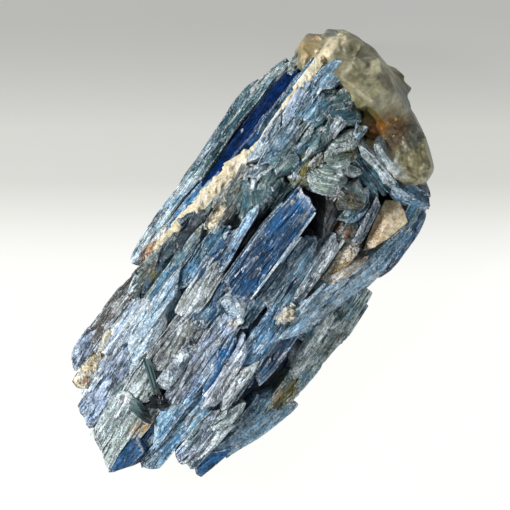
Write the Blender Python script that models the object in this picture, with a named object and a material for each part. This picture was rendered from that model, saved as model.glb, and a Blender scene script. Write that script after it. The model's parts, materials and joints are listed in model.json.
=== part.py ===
"""Kyanite blade cluster: a bundle of kyanite blades, a lower sheaf behind it, the cream vein that
parts the two, a quartz head that caps one end, a quartz wedge and two dark prisms.

The specimen lies on its flat back. +X runs along the blades to the quartz head, +Y across them, +Z up.
The origin is under the middle of the specimen, on the plane that it rests on.
Lengths in the tables below are millimetres; MM turns them into Blender's metres.
"""

import math
import random

import bmesh
import bpy
from mathutils import Matrix, Vector

MM = 0.001
SEED = 11
GAP = 0.3  # between separate pieces

# The dome that the blades' top faces follow.
CREST_HEIGHT = 32.0
CREST_X = 20.0  # the crest drops from here towards the free end
FREE_END_DROP = 18.0
FREE_END_X = -60.0
CREST_Y = 4.0
FLANK_REACH = 34.0
BACK_REACH = 29.0
FLANK_DROP = 0.68
SHEAF_DROP = 4.6  # the back sheaf lies this much lower than the bundle's dome

BLADE_DEPTH = 9.0
EDGE_CHAMFER = 0.14  # of a blade's width
END_SLANT = 1.1  # how far a blade's end face leans back from its foot

# One row a blade: x and y of its free end, x and y of its head end, width, lift above the dome, roll.
BUNDLE_BLADES = (
    # Upper side of the free end: slate knob, grey and stained blades.
    (-44.2, 22.9, -34.0, 23.1, 4.6, 0.8, 4),
    (-37.5, 22.9, -22.0, 22.6, 4.6, 0.0, -3),
    (-27.0, 22.6, -8.5, 20.4, 3.9, -0.4, 5),
    (-49.0, 18.2, -33.0, 19.4, 4.6, -0.7, 6),
    (-38.0, 19.0, -20.0, 18.4, 3.8, -0.3, -4),
    (-50.5, 16.6, -38.0, 16.8, 3.0, -0.5, -6),
    (-24.0, 19.2, 1.5, 18.0, 4.0, -3.6, 8),
    # Pale lilac-blue striated blades.
    (-54.0, 13.4, -29.0, 13.8, 5.2, 0.2, 2),
    (-40.0, 16.4, -18.0, 16.6, 2.8, -0.4, 3),
    (-33.0, 14.6, -9.5, 13.9, 3.6, 0.9, -2),
    (-38.0, 11.4, -18.6, 11.3, 3.6, 0.3, 2),
    (-21.0, 16.6, 2.0, 15.3, 3.0, -0.2, 4),
    (-15.6, 11.9, 5.5, 12.2, 3.6, -0.6, -3),
    (-54.4, 10.2, -36.0, 10.0, 2.6, -0.4, 5),
    # Pale block, purple-grey blades and the sparkling zone.
    (-56.8, 7.4, -41.0, 8.0, 4.2, 0.4, 3),
    (-59.0, 3.4, -42.0, 4.6, 4.4, -0.3, -5),
    (-43.0, 5.8, -31.0, 6.2, 5.6, -1.0, 3),
    (-34.0, 6.8, -17.6, 6.4, 5.2, 0.5, -2),
    (-36.0, 2.4, -16.0, 2.2, 4.4, -0.7, 3),
    (-50.5, 1.2, -40.0, 0.6, 3.2, -1.3, 4),
    (-59.8, -0.4, -48.6, -1.5, 4.6, -0.4, -14),
    # Mid-blue and lilac-white blades below them.
    (-50.0, -3.2, -30.0, -4.0, 4.2, -0.6, -4),
    (-54.4, -6.4, -29.0, -7.6, 4.2, -1.4, -8),
    (-39.0, -1.5, -13.5, -1.6, 3.6, 0.3, 2),
    (-35.0, -4.2, -13.0, -3.8, 2.8, -0.3, -3),
    (-33.0, -6.8, -14.0, -6.0, 3.4, 0.2, -5),
    (-34.0, -10.2, -13.5, -8.8, 2.8, -0.6, 4),
    (-32.0, -12.4, -17.0, -13.0, 2.8, -1.4, -4),
    (-24.0, -11.4, -3.0, -11.8, 5.6, -0.2, -3),
    (-22.0, -15.6, -4.0, -16.4, 3.6, -0.8, -6),
    # Lower flank of the free end.
    (-48.0, -11.4, -32.0, -12.2, 3.8, -0.6, -5),
    (-47.6, -14.4, -33.0, -15.4, 3.0, -0.9, -8),
    (-37.0, -14.4, -27.0, -16.6, 3.2, 0.2, -3),
    (-47.8, -17.0, -37.5, -18.4, 4.2, -1.2, -16),
    (-40.0, -12.0, -6.0, -19.6, 4.4, -6.0, -6),
    (-37.0, -18.4, -19.0, -20.4, 3.2, -2.0, -8),
    (-42.0, -19.8, -24.0, -22.8, 4.4, -1.2, -12),
    (-37.0, -22.8, -19.6, -26.0, 3.8, -1.8, -14),
    (-27.0, -22.6, -14.0, -23.2, 4.4, -1.4, -8),
    (-18.0, -22.4, 3.0, -22.4, 3.4, -1.5, -6),
    (-17.0, -25.0, 12.0, -25.0, 3.4, -2.2, -12),
    (-9.0, -26.9, 11.0, -26.6, 2.6, -3.0, -16),
    # The long light-blue blade that fans out along the flank, and its pale tips.
    (-11.0, -16.4, 10.0, -20.4, 4.6, 0.2, -6),
    (-1.0, -18.6, 23.0, -26.0, 4.6, -0.1, -8),
    (-7.0, -14.2, 7.0, -16.8, 3.2, 0.7, 2),
    (2.0, -15.8, 11.8, -19.8, 2.2, 1.0, -4),
    (8.0, -17.4, 18.8, -20.9, 2.6, 0.6, 3),
    (-2.0, -22.8, 14.0, -23.6, 3.0, -1.0, -6),
    (12.0, -21.6, 31.0, -25.2, 4.2, -0.4, -7),
    (19.0, -26.9, 36.0, -25.7, 3.6, -1.4, -12),
    (27.0, -24.2, 38.6, -22.4, 4.2, -0.8, -6),
    # The raised royal-blue blade and what lies beside it.
    (-8.0, 0.7, 22.0, -0.7, 6.6, 2.2, 3),
    (-9.0, 3.2, 17.0, 2.0, 3.8, 1.3, 8),
    (-13.0, -1.0, -5.0, -0.8, 6.6, 1.1, -6),
    (-19.0, 2.6, -6.0, 2.8, 4.6, 0.5, 4),
    (-7.0, -4.4, 9.5, -4.3, 2.0, -0.5, -6),
    (-20.0, 8.2, -1.0, 7.9, 5.0, 1.2, 2),
    (-12.0, 9.6, 8.0, 9.2, 3.0, 0.9, 3),
    (-5.0, 6.7, 13.2, 7.6, 2.2, 1.7, -3),
    # Below the hollow: grey-blue blade, pale-edged lath, brown and tan blades.
    (-6.0, -8.6, 15.0, -8.6, 6.0, -0.2, -2),
    (-1.0, -12.4, 18.2, -12.4, 2.8, 0.4, -3),
    (13.0, -13.6, 23.0, -12.4, 4.2, -1.8, -4),
    (5.0, -15.8, 18.0, -16.8, 4.2, -0.9, -4),
    (11.0, -7.8, 26.0, -7.4, 7.0, -8.5, 0),
    # Jumble of short grey-green crystals between the raised blades and the upper sheet.
    (0.5, 14.4, 10.0, 14.0, 3.4, -1.4, 6),
    (4.0, 12.2, 18.0, 13.2, 2.8, -0.8, 5),
    (6.0, 16.0, 20.5, 15.0, 2.6, -0.6, 8),
    (8.0, 10.2, 18.0, 10.4, 2.2, -1.2, -4),
    (13.4, 6.4, 23.6, 5.4, 4.8, -1.8, 4),
    (16.4, 10.4, 22.4, 8.6, 5.0, -0.1, -3),
    (17.0, 13.4, 23.0, 12.6, 2.8, -0.4, 4),
    # Upper sheet that runs to the quartz head.
    (20.0, 15.0, 47.0, 15.0, 2.8, 0.9, 4),
    (20.5, 12.8, 49.0, 13.0, 3.0, 1.3, 2),
    (21.5, 10.0, 46.0, 10.6, 3.6, 0.7, -2),
    (22.6, 6.8, 34.5, 7.0, 3.6, 0.1, -3),
    (32.0, 8.2, 47.0, 8.0, 3.2, -0.2, 2),
    (40.0, 5.6, 48.0, 5.8, 3.8, -0.9, -4),
    (44.5, 11.8, 52.4, 11.4, 5.0, 1.0, 0),
    (30.0, 4.6, 37.0, 5.6, 3.0, -0.6, 5),
    (35.4, 3.6, 41.8, 3.4, 2.4, 0.6, -3),
    # Short crystals set across the blades between the hollow and the head.
    (24.2, 1.2, 28.2, -6.0, 4.6, 0.9, 3),
    (27.4, 0.2, 31.4, -5.0, 3.6, 0.0, -4),
    (23.6, -8.0, 31.6, -8.8, 5.0, -0.6, -3),
    (21.0, -11.6, 31.8, -12.4, 4.0, -0.8, -4),
    (17.8, -16.6, 31.2, -14.9, 2.4, -0.2, 2),
    (35.4, -3.4, 32.0, -14.6, 2.8, -1.0, 4),
    (37.6, -4.4, 34.6, -16.0, 2.4, 0.2, -3),
    (30.8, -0.4, 38.0, 0.2, 2.0, 0.2, -5),
    (31.4, -2.8, 40.0, -3.2, 3.0, -1.0, 3),
    (37.0, 0.0, 43.6, -1.4, 3.6, -0.6, 4),
    (34.0, -15.6, 35.6, -25.2, 3.0, 0.4, 3),
    (36.6, -15.4, 37.8, -24.4, 2.6, -0.4, -4),
)

# The sheaf behind the vein; lifts are above its own lower dome.
SHEAF_BLADES = (
    (-15.2, 26.0, 12.0, 25.4, 3.8, 0.4, 4),
    (-13.4, 23.5, -2.0, 22.6, 2.8, -0.2, 2),
    (-7.0, 22.6, 12.0, 21.4, 3.4, -0.4, 4),
    (9.0, 21.4, 47.0, 19.2, 5.4, -1.0, 7),
    (9.0, 24.4, 45.0, 23.2, 3.2, 0.7, -2),
    (17.5, 26.6, 36.0, 26.4, 3.0, -0.2, 5),
    (33.0, 24.9, 46.5, 22.0, 2.8, 0.1, 3),
    (41.0, 21.4, 50.0, 20.4, 2.6, 0.2, -3),
)

# Blocks of vein mineral along the parting: x, y, length, width, lift above the dome, turn.
VEIN_BLOCKS = (
    (-5.0, 21.6, 9.0, 1.4, -3.4, -5),
    (1.5, 20.4, 9.0, 2.6, -2.7, -11),
    (8.0, 19.0, 9.0, 3.4, -2.2, -6),
    (14.0, 18.2, 8.0, 3.2, -1.9, -8),
    (18.5, 17.4, 6.0, 4.0, -1.2, -24),
    (23.0, 16.4, 8.0, 2.0, -0.6, -7),
    (30.0, 16.3, 11.0, 1.5, -0.1, 1),
    (38.0, 16.3, 10.0, 1.8, 0.2, -1),
    (45.0, 15.9, 9.0, 2.6, 0.4, -3),
)
PARTING_LINE = (
    (-24.0, 25.6), (-15.0, 22.7), (-8.0, 21.6), (2.0, 20.2), (12.0, 18.4),
    (20.0, 16.4), (38.0, 16.2), (50.0, 15.6), (64.0, 14.6),
)
VEIN_FOOT = 8.0

# Convex lumps of the quartz head: centre, size, number of corners chipped off, and the flat faces cut
# on it. A cut is its outward direction and its distance from the lump's centre.
HEAD_LUMPS = (
    # The big upper crystal with its broad smooth faces, which the upper blades run against.
    ((51.2, 4.0, 18.5), (18.0, 25.0, 36.0), 5, (
        ((-1.0, 0.1, 0.3), 7.4), ((0.25, 0.15, 1.0), 16.6), ((0.9, -0.1, 0.75), 13.4), ((-0.2, -0.9, 0.9), 16.0),
        ((1.0, 0.5, 0.3), 9.4), ((0.95, -0.32, 0.05), 7.4), ((0.88, -0.48, 0.1), 8.3), ((0.4, 1.0, 0.3), 12.0),
        ((1.0, 0.1, -0.7), 12.4),
    )),
    # The grey granular lower lumps.
    ((43.4, -14.4, 14.5), (13.0, 14.5, 27.0), 6, (
        ((0.1, -0.5, 1.0), 13.0), ((1.0, -0.2, 0.5), 8.4), ((0.78, -0.63, 0.1), 5.8),
        ((-0.7, -1.0, 0.2), 8.4), ((-0.7, 0.1, 1.0), 13.4), ((0.3, -1.0, -0.7), 12.5),
    )),
    ((46.6, -10.6, 13.0), (9.5, 10.0, 26.0), 5, (
        ((0.2, 0.1, 1.0), 13.6), ((1.0, -0.5, 0.3), 5.4), ((0.8, -1.0, -0.4), 8.4),
    )),
    # The rust-stained saddle between the two.
    ((46.2, -5.6, 13.0), (10.0, 11.0, 28.0), 4, (
        ((-0.6, -0.2, 1.0), 13.2), ((0.6, -0.3, 1.0), 14.0), ((1.0, -0.6, 0.3), 7.2),
    )),
    # The pale translucent rib beside the short cross crystals.
    ((38.9, -10.6, 13.5), (5.0, 13.0, 29.0), 3, (
        ((0.5, 0.1, 1.0), 14.4), ((-0.7, -0.1, 1.0), 14.4), ((-0.3, -1.0, 0.3), 7.0),
    )),
    # The yellow lump at the back, the pale apex and the small grey lump.
    ((50.4, 18.9, 16.0), (10.0, 6.6, 22.0), 6, (
        ((0.1, 0.5, 1.0), 11.0), ((-0.8, 0.2, 1.0), 11.4), ((1.0, 0.6, 0.3), 4.8), ((-0.6, 1.0, 0.2), 3.9),
    )),
    ((55.2, 13.4, 17.0), (8.6, 7.4, 28.0), 5, (
        ((-0.1, 0.3, 1.0), 14.2), ((0.8, 0.2, 1.0), 14.0), ((1.0, 0.8, 0.2), 4.6),
    )),
    ((56.2, 16.6, 15.0), (4.6, 4.6, 19.0), 3, (
        ((0.3, 0.5, 1.0), 9.6), ((1.0, 0.6, 0.3), 2.6),
    )),
    # The lumps of the far end, under the overhang.
    ((53.6, 5.0, 10.0), (11.0, 16.0, 21.0), 6, (
        ((1.0, 0.3, 0.4), 6.2), ((1.0, -0.6, -0.2), 6.4), ((0.6, 0.1, -1.0), 10.2),
    )),
    ((47.0, 12.0, 8.0), (12.0, 12.0, 17.0), 6, (
        ((0.8, 0.8, -0.3), 6.6), ((-0.2, 1.0, 0.1), 5.6),
    )),
    ((54.6, -1.5, 21.0), (5.6, 9.0, 14.0), 5, (
        ((0.9, -0.5, 0.5), 3.0), ((0.3, -0.2, 1.0), 6.0),
    )),
    ((50.6, -7.0, 9.0), (8.0, 9.0, 12.0), 6, (
        ((0.9, -0.6, 0.4), 4.0), ((0.7, -0.4, -1.0), 5.0),
    )),
    ((57.2, 9.4, 22.0), (5.0, 8.0, 11.0), 5, (
        ((1.0, 0.3, 0.5), 2.6), ((0.6, -0.6, 0.4), 3.4),
    )),
)
CHIP_SHARE = 0.9  # how much of a corner's reach a chip leaves

WEDGE_OUTLINE = (
    (18.8, -18.6), (22.0, -17.6), (28.0, -16.3), (31.8, -15.9), (33.4, -19.0),
    (32.0, -21.2), (30.4, -23.3), (25.0, -21.9), (21.0, -20.2),
)
WEDGE_BASE, WEDGE_TOP = 10.0, 27.0
WEDGE_LIFT = 0.4
WEDGE_CUTS = (((-0.1, 0.45, 1.0), 0.4), ((0.05, -0.35, 1.0), 0.5))

# The prisms of dark mineral: the two ends of the axis, width, depth, lift above the dome.
BROAD_PRISM = ((-42.6, 6.6), (-42.9, -1.0), 3.2, 6.0, 0.9)
SLENDER_PRISM = ((-31.6, 9.0), (-37.6, 1.4), 1.9, 6.0, 1.7)
DARK_LUMP_CENTRE = (-38.0, 0.9)
DARK_LUMP_SIZE = (4.0, 4.8, 8.0)
DARK_LUMP_LIFT = 0.7
DARK_LUMP_CUTS = (
    ((0.8, 0.3, 1.0), 3.4), ((-0.9, 0.2, 1.0), 3.5), ((0.1, 1.0, 0.7), 2.7), ((-0.1, -1.0, 0.8), 2.8),
    ((1.0, 1.0, 0.1), 2.4), ((-1.0, -0.8, 0.1), 2.3),
)

# Heart of the bundle: thick blades under the visible ones. x ends, y ends, width, height of the top.
HEART = (
    (-52.0, 46.0, 8.0, 9.0, 14.0, 15.0, 24.0),
    (-50.0, 46.0, -1.0, -1.5, 12.0, 14.0, 21.5),
    (-44.0, 44.0, -10.0, -10.5, 11.0, 10.5, 17.5),
    (-40.0, 40.0, -17.5, -18.5, 9.0, 6.5, 11.0),
    (-42.0, 6.0, 17.5, 15.5, 9.0, 13.5, 18.0),
)
SHEAF_HEART = (
    (-9.0, 48.0, 23.0, 20.0, 5.2, 15.5, 18.5),
)

HEART_FOOT = 4.4

# The flanks and the underside are laid in rows by rule. A flank row is the height of its top faces,
# its inset from the specimen's edge, its width and its roll away from the level.
FLANK_ROWS = ((11.0, 0.6, 5.5, 58), (7.4, 1.6, 5.2, 66), (4.4, 4.6, 5.2, 44))
FLANK_STEP = 19.0
FLANK_LENGTH = 27.0
FLANK_START, FLANK_STOP = -47.0, 34.0
LOW_EDGE = ((-58.0, -1.0), (-47.0, -13.0), (-38.0, -20.0), (-22.0, -25.6), (30.0, -26.2), (40.0, -22.0))
BACK_EDGE = ((-58.0, 4.0), (-50.0, 15.0), (-42.0, 22.5), (-24.0, 23.0), (-8.0, 22.0), (40.0, 15.0))
SHEAF_EDGE = ((-14.0, 25.0), (8.0, 25.6), (36.0, 25.6), (48.0, 21.5))
SHEAF_FLANK_START, SHEAF_FLANK_STOP = 2.0, 36.0
UNDERSIDE_FOOT_LOW, UNDERSIDE_FOOT_HIGH = -0.6, 3.0  # heights of the blades' lower faces
UNDERSIDE_PLACES = (-14.0, -7.0, 0.5, 7.5, 14.0)  # y of each row
UNDERSIDE_STARTS = (-45.0, -17.0, 11.0)
UNDERSIDE_LENGTH = 31.0
UNDERSIDE_STOP = 42.0
UNDERSIDE_WIDTH = 7.6


def dome(x, y):
    """Height of the blades' top faces at a place on the bundle."""
    reach = BACK_REACH if y > CREST_Y else FLANK_REACH
    fall = 1.0 - FLANK_DROP * min(abs(y - CREST_Y) / reach, 1.0) ** 2.4
    along = max(CREST_X - x, 0.0) / (CREST_X - FREE_END_X)
    return (CREST_HEIGHT - FREE_END_DROP * along ** 2) * fall


def dome_roll(x, y):
    """Slope of the dome across the blades, as a turn about +X."""
    return math.atan((dome(x, y + 1.0) - dome(x, y - 1.0)) / 2.0)


def new_object(name, work, collection):
    """Makes an object of a bmesh that is in millimetres."""
    bmesh.ops.scale(work, vec=(MM, MM, MM), verts=work.verts)
    bmesh.ops.recalc_face_normals(work, faces=work.faces)
    mesh = bpy.data.meshes.new(name)
    work.to_mesh(mesh)
    work.free()
    shape = bpy.data.objects.new(name, mesh)
    collection.objects.link(shape)
    return shape


def make_blade(name, start, end, width, turn, collection):
    """One kyanite blade: a chamfered bar whose ends lean back; start and end lie on its top face."""
    middle = (start + end) / 2
    along = end - start
    length = along.length
    work = bmesh.new()
    bmesh.ops.create_cube(work, size=1.0)
    bmesh.ops.scale(work, vec=(length, width, BLADE_DEPTH), verts=work.verts)
    slant = random.uniform(0.5, 1.0) * END_SLANT
    skew = random.uniform(-0.6, 0.6) * width
    for corner in work.verts:
        if corner.co.z > 0:
            corner.co.x -= math.copysign(slant, corner.co.x)
        corner.co.x += skew * corner.co.y / width * math.copysign(1.0, corner.co.x)
    edges = [edge for edge in work.edges
             if all(corner.co.z > 0 for corner in edge.verts)
             and abs(edge.verts[0].co.x - edge.verts[1].co.x) > length / 2]
    bmesh.ops.bevel(work, geom=edges, offset=EDGE_CHAMFER * width, segments=1, affect="EDGES")
    bmesh.ops.translate(work, vec=(0, 0, -BLADE_DEPTH / 2), verts=work.verts)
    pose = Matrix.Translation(middle)
    pose @= Matrix.Rotation(math.atan2(along.y, along.x), 4, "Z")
    pose @= Matrix.Rotation(-math.atan2(along.z, along.xy.length), 4, "Y")
    pose @= Matrix.Rotation(turn, 4, "X")
    bmesh.ops.transform(work, matrix=pose, verts=work.verts)
    return new_object(name, work, collection)


def blade_on_dome(name, row, lowered):
    """A blade of the tables, laid on the dome or on the sheaf's lower dome."""
    start_x, start_y, end_x, end_y, width, lift, roll = row
    start = Vector((start_x, start_y, dome(start_x, start_y) + lift - lowered))
    end = Vector((end_x, end_y, dome(end_x, end_y) + lift - lowered))
    turn = math.radians(roll) + dome_roll((start_x + end_x) / 2, (start_y + end_y) / 2)
    return make_blade(name, start, end, width, turn, cutters)


def edge_at(points, x):
    """y of a hand-drawn edge at x."""
    for (x0, y0), (x1, y1) in zip(points, points[1:]):
        if x <= x1:
            return y0 + (y1 - y0) * (x - x0) / (x1 - x0)
    return points[-1][1]


def flank_blades(name, edge, side, first_x, last_x):
    """Rows of blades that stand on edge along one flank, each row further under the specimen."""
    blades = []
    for row, (top, inset, width, roll) in enumerate(FLANK_ROWS):
        x = first_x + (row % 2) * FLANK_STEP / 2
        while x < last_x:
            start_x = x + random.uniform(-3.0, 3.0)
            end_x = min(start_x + FLANK_LENGTH * random.uniform(0.8, 1.2), last_x + 8.0)
            at_start, at_end = (edge_at(edge, at) - side * inset for at in (start_x, end_x))
            rise = random.uniform(-0.8, 0.8)
            start = Vector((start_x, at_start, top + rise))
            end = Vector((end_x, at_end, top - rise))
            turn = math.radians(-side * (roll + random.uniform(-8, 8)))
            blades.append(make_blade(f"{name} {row} {x:.0f}", start, end, width, turn, cutters))
            x += FLANK_STEP
    return blades


def underside_blades():
    """Broad blades laid under the bundle; those that reach lowest are cut flat where it rests."""
    blades = []
    for row, y in enumerate(UNDERSIDE_PLACES):
        for start_x in UNDERSIDE_STARTS:
            start_x += random.uniform(-4.0, 4.0) + (row % 2) * 5.0
            outer = row in (0, len(UNDERSIDE_PLACES) - 1)
            foot = UNDERSIDE_FOOT_LOW if outer else random.uniform(UNDERSIDE_FOOT_LOW / 2, UNDERSIDE_FOOT_HIGH)
            tilt = random.uniform(-0.5, 0.5)
            start = Vector((start_x, y + random.uniform(-1, 1), foot + BLADE_DEPTH + tilt))
            end_x = min(start_x + UNDERSIDE_LENGTH, UNDERSIDE_STOP)
            end = Vector((end_x, y + random.uniform(-1, 1), foot + BLADE_DEPTH - tilt))
            turn = math.radians(random.uniform(-7, 7))
            blades.append(make_blade(f"under {row} {start_x:.0f}", start, end, UNDERSIDE_WIDTH, turn, cutters))
    return blades


def make_bar(name, start_x, end_x, start_y, end_y, width, start_top, end_top, collection):
    """A thick bar of the heart, from below the base up to a sloping top."""
    work = bmesh.new()
    bmesh.ops.create_cube(work, size=1.0)
    for corner in work.verts:
        at_end = corner.co.x > 0
        top = end_top if at_end else start_top
        side = 0.5 * width * (0.7 if corner.co.z > 0 else 0.86)
        corner.co.y = math.copysign(side, corner.co.y) + (end_y if at_end else start_y)
        corner.co.z = top if corner.co.z > 0 else HEART_FOOT
        corner.co.x = end_x if at_end else start_x
    return new_object(name, work, collection)


def cut_flat(work, centre, direction, distance):
    """Cuts a convex shape by one plane and closes it with a flat face."""
    normal = Vector(direction).normalized()
    found = bmesh.ops.bisect_plane(
        work, geom=work.verts[:] + work.edges[:] + work.faces[:], dist=1e-5,
        plane_co=Vector(centre) + normal * distance, plane_no=normal, clear_outer=True)
    rim = [item for item in found["geom_cut"] if isinstance(item, bmesh.types.BMEdge)]
    if rim:
        bmesh.ops.holes_fill(work, edges=rim, sides=0)


def cut_box(centre, size, cuts, grow):
    """A box with flat faces cut on it, all of them moved out by grow."""
    work = bmesh.new()
    bmesh.ops.create_cube(work, size=1.0)
    bmesh.ops.scale(work, vec=Vector(size) + Vector((2, 2, 2)) * grow, verts=work.verts)
    bmesh.ops.translate(work, vec=centre, verts=work.verts)
    for direction, distance in cuts:
        cut_flat(work, centre, direction, distance + grow)
    return work


def make_lump(name, centre, size, chips, cuts, collection, grow=0.0):
    """A convex crystal lump: its named faces, then some corners chipped off at random."""
    cuts = list(cuts)
    for _ in range(chips):
        direction = Vector((random.uniform(-1, 1), random.uniform(-1, 1), random.uniform(-0.5, 0.9))).normalized()
        trial = cut_box(centre, size, cuts, 0.0)
        reach = max((corner.co - Vector(centre)).dot(direction) for corner in trial.verts)
        trial.free()
        cuts.append((direction, CHIP_SHARE * reach))
    return new_object(name, cut_box(centre, size, cuts, grow), collection)


def make_block(name, row, collection, grow=0.0):
    """One upright block of the vein, its top on the dome."""
    x, y, length, width, lift, turn = row
    top = dome(x, y) + lift + grow
    height = top - VEIN_FOOT + grow
    work = bmesh.new()
    bmesh.ops.create_cube(work, size=1.0)
    bmesh.ops.scale(work, vec=(length + 2 * grow, width + 2 * grow, height), verts=work.verts)
    for corner in work.verts:
        if corner.co.z > 0:
            corner.co.z += random.uniform(-0.5, 0.3)
            corner.co.y *= 0.8
    pose = Matrix.Translation((x, y, top - height / 2)) @ Matrix.Rotation(math.radians(turn), 4, "Z")
    bmesh.ops.transform(work, matrix=pose, verts=work.verts)
    return new_object(name, work, collection)


def make_prism(name, row, collection, grow=0.0):
    """A dark prism laid on the blades, with chamfered top edges."""
    start, end, width, depth, lift = row
    middle = (Vector(start) + Vector(end)) / 2
    along = Vector(end) - Vector(start)
    work = bmesh.new()
    bmesh.ops.create_cube(work, size=1.0)
    bmesh.ops.scale(work, vec=(along.length + 2 * grow, width + 2 * grow, depth + 2 * grow), verts=work.verts)
    edges = [edge for edge in work.edges if all(corner.co.z > 0 for corner in edge.verts)]
    bmesh.ops.bevel(work, geom=edges, offset=0.28 * width, segments=1, affect="EDGES")
    slope = math.atan2(dome(*end) - dome(*start), along.length)
    pose = Matrix.Translation((middle.x, middle.y, dome(middle.x, middle.y) + lift - depth / 2))
    pose @= Matrix.Rotation(math.atan2(along.y, along.x), 4, "Z") @ Matrix.Rotation(-slope, 4, "Y")
    bmesh.ops.transform(work, matrix=pose, verts=work.verts)
    return new_object(name, work, collection)


def make_outline_solid(name, points, base, top, collection):
    """A flat outline raised between two heights."""
    curve = bpy.data.curves.new(name, "CURVE")
    curve.dimensions = "2D"
    curve.fill_mode = "BOTH"
    curve.extrude = (top - base) / 2 * MM
    spline = curve.splines.new("POLY")
    spline.points.add(len(points) - 1)
    for point, (x, y) in zip(spline.points, points):
        point.co = (x * MM, y * MM, 0, 1)
    spline.use_cyclic_u = True
    drawn = bpy.data.objects.new(name, curve)
    collection.objects.link(drawn)
    bpy.context.view_layer.update()
    mesh = bpy.data.meshes.new_from_object(drawn.evaluated_get(bpy.context.evaluated_depsgraph_get()))
    bpy.data.objects.remove(drawn)
    work = bmesh.new()
    work.from_mesh(mesh)
    bmesh.ops.remove_doubles(work, verts=work.verts, dist=1e-6)
    bmesh.ops.recalc_face_normals(work, faces=work.faces)
    bmesh.ops.translate(work, vec=(0, 0, (top + base) / 2 * MM), verts=work.verts)
    work.to_mesh(mesh)
    work.free()
    shape = bpy.data.objects.new(name, mesh)
    collection.objects.link(shape)
    return shape


def evaluated_copy(shape):
    """The object's mesh with its modifiers carried out."""
    bpy.context.view_layer.update()
    return bpy.data.meshes.new_from_object(shape.evaluated_get(bpy.context.evaluated_depsgraph_get()))


def keep_outer_skin(mesh):
    """Removes sealed pockets and loose chips: only the largest connected skin stays."""
    work = bmesh.new()
    work.from_mesh(mesh)
    bmesh.ops.remove_doubles(work, verts=work.verts, dist=2e-6)
    unseen = set(work.verts)
    skins = []
    while unseen:
        seed = unseen.pop()
        skin, frontier = [seed], [seed]
        while frontier:
            corner = frontier.pop()
            for edge in corner.link_edges:
                other = edge.other_vert(corner)
                if other in unseen:
                    unseen.discard(other)
                    skin.append(other)
                    frontier.append(other)
        skins.append(skin)
    skins.sort(key=len)
    for skin in skins[:-1]:
        bmesh.ops.delete(work, geom=skin, context="VERTS")
    work.to_mesh(mesh)
    work.free()


def carry_out(shape):
    """Makes the object's modifiers part of its mesh."""
    mesh = evaluated_copy(shape)
    shape.modifiers.clear()
    shape.data = mesh
    keep_outer_skin(mesh)


def unite(name, pieces, collection):
    """Joins overlapping shapes into one solid."""
    base = pieces[0]
    base.name = name
    others = bpy.data.collections.new(name + " pieces")
    cutters.children.link(others)
    for piece in pieces[1:]:
        cutters.objects.unlink(piece)
        others.objects.link(piece)
    join = base.modifiers.new("join", "BOOLEAN")
    join.operation = "UNION"
    join.operand_type = "COLLECTION"
    join.collection = others
    join.solver = "EXACT"
    carry_out(base)
    for piece in pieces[1:]:
        bpy.data.objects.remove(piece)
    bpy.data.collections.remove(others)
    cutters.objects.unlink(base)
    collection.objects.link(base)
    return base


def cut_away(shape, tools):
    """Cuts the shape by each tool in turn."""
    for tool in tools:
        cut = shape.modifiers.new("cut " + tool.name, "BOOLEAN")
        cut.operation = "DIFFERENCE"
        cut.object = tool
        cut.solver = "EXACT"
    carry_out(shape)


def dress(shape, colour, roughness):
    """Gives the object its own plain material."""
    material = bpy.data.materials.new(shape.name)
    material.use_nodes = True
    surface = material.node_tree.nodes["Principled BSDF"]
    surface.inputs["Base Color"].default_value = (*colour, 1.0)
    surface.inputs["Roughness"].default_value = roughness
    surface.inputs["Metallic"].default_value = 0.0
    shape.data.materials.clear()
    shape.data.materials.append(material)


def mineral_set(grow):
    """The pieces of other minerals, at size or grown by the gap as cutters."""
    tag = " grown" if grow else ""
    random.seed(SEED)
    vein = unite("cream_vein" + tag, [make_block(f"block {i}", row, cutters, grow)
                                      for i, row in enumerate(VEIN_BLOCKS)], cutters)
    head = unite("quartz_head" + tag, [make_lump(f"lump {i}", *row, cutters, grow)
                                       for i, row in enumerate(HEAD_LUMPS)], cutters)
    broad = make_prism("dark_prism_broad" + tag, BROAD_PRISM, cutters, grow)
    x, y = DARK_LUMP_CENTRE
    lump_top = dome(x, y) + DARK_LUMP_LIFT
    lump = make_lump("dark lump", (x, y, lump_top - DARK_LUMP_SIZE[2] / 2), DARK_LUMP_SIZE, 3, DARK_LUMP_CUTS,
                     cutters, grow)
    slender = unite("dark_prism_slender" + tag,
                    [make_prism("prism", SLENDER_PRISM, cutters, grow), lump], cutters)
    wedge = make_wedge("quartz_wedge" + tag, grow)
    return vein, head, broad, slender, wedge


def make_wedge(name, grow):
    """The quartz wedge: its outline raised from inside the bundle, with a ridged top."""
    middle = Vector((sum(x for x, _ in WEDGE_OUTLINE), sum(y for _, y in WEDGE_OUTLINE))) / len(WEDGE_OUTLINE)
    outline = []
    for x, y in WEDGE_OUTLINE:
        out = Vector((x, y)) - middle
        outline.append(middle + out * (1.0 + grow / out.length))
    wedge = make_outline_solid(name, outline, WEDGE_BASE - grow, WEDGE_TOP, cutters)
    top = Vector((middle.x, middle.y, dome(middle.x, middle.y) + WEDGE_LIFT))
    work = bmesh.new()
    work.from_mesh(wedge.data)
    bmesh.ops.scale(work, vec=(1 / MM, 1 / MM, 1 / MM), verts=work.verts)
    for direction, distance in WEDGE_CUTS:
        cut_flat(work, top, direction, distance + grow)
    bmesh.ops.scale(work, vec=(MM, MM, MM), verts=work.verts)
    work.to_mesh(wedge.data)
    work.free()
    return wedge


def make_big_box(name, low, high):
    """A plain box between two corners, as a cutter."""
    work = bmesh.new()
    bmesh.ops.create_cube(work, size=1.0)
    low, high = Vector(low), Vector(high)
    bmesh.ops.scale(work, vec=high - low, verts=work.verts)
    bmesh.ops.translate(work, vec=(low + high) / 2, verts=work.verts)
    return new_object(name, work, cutters)


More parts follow.
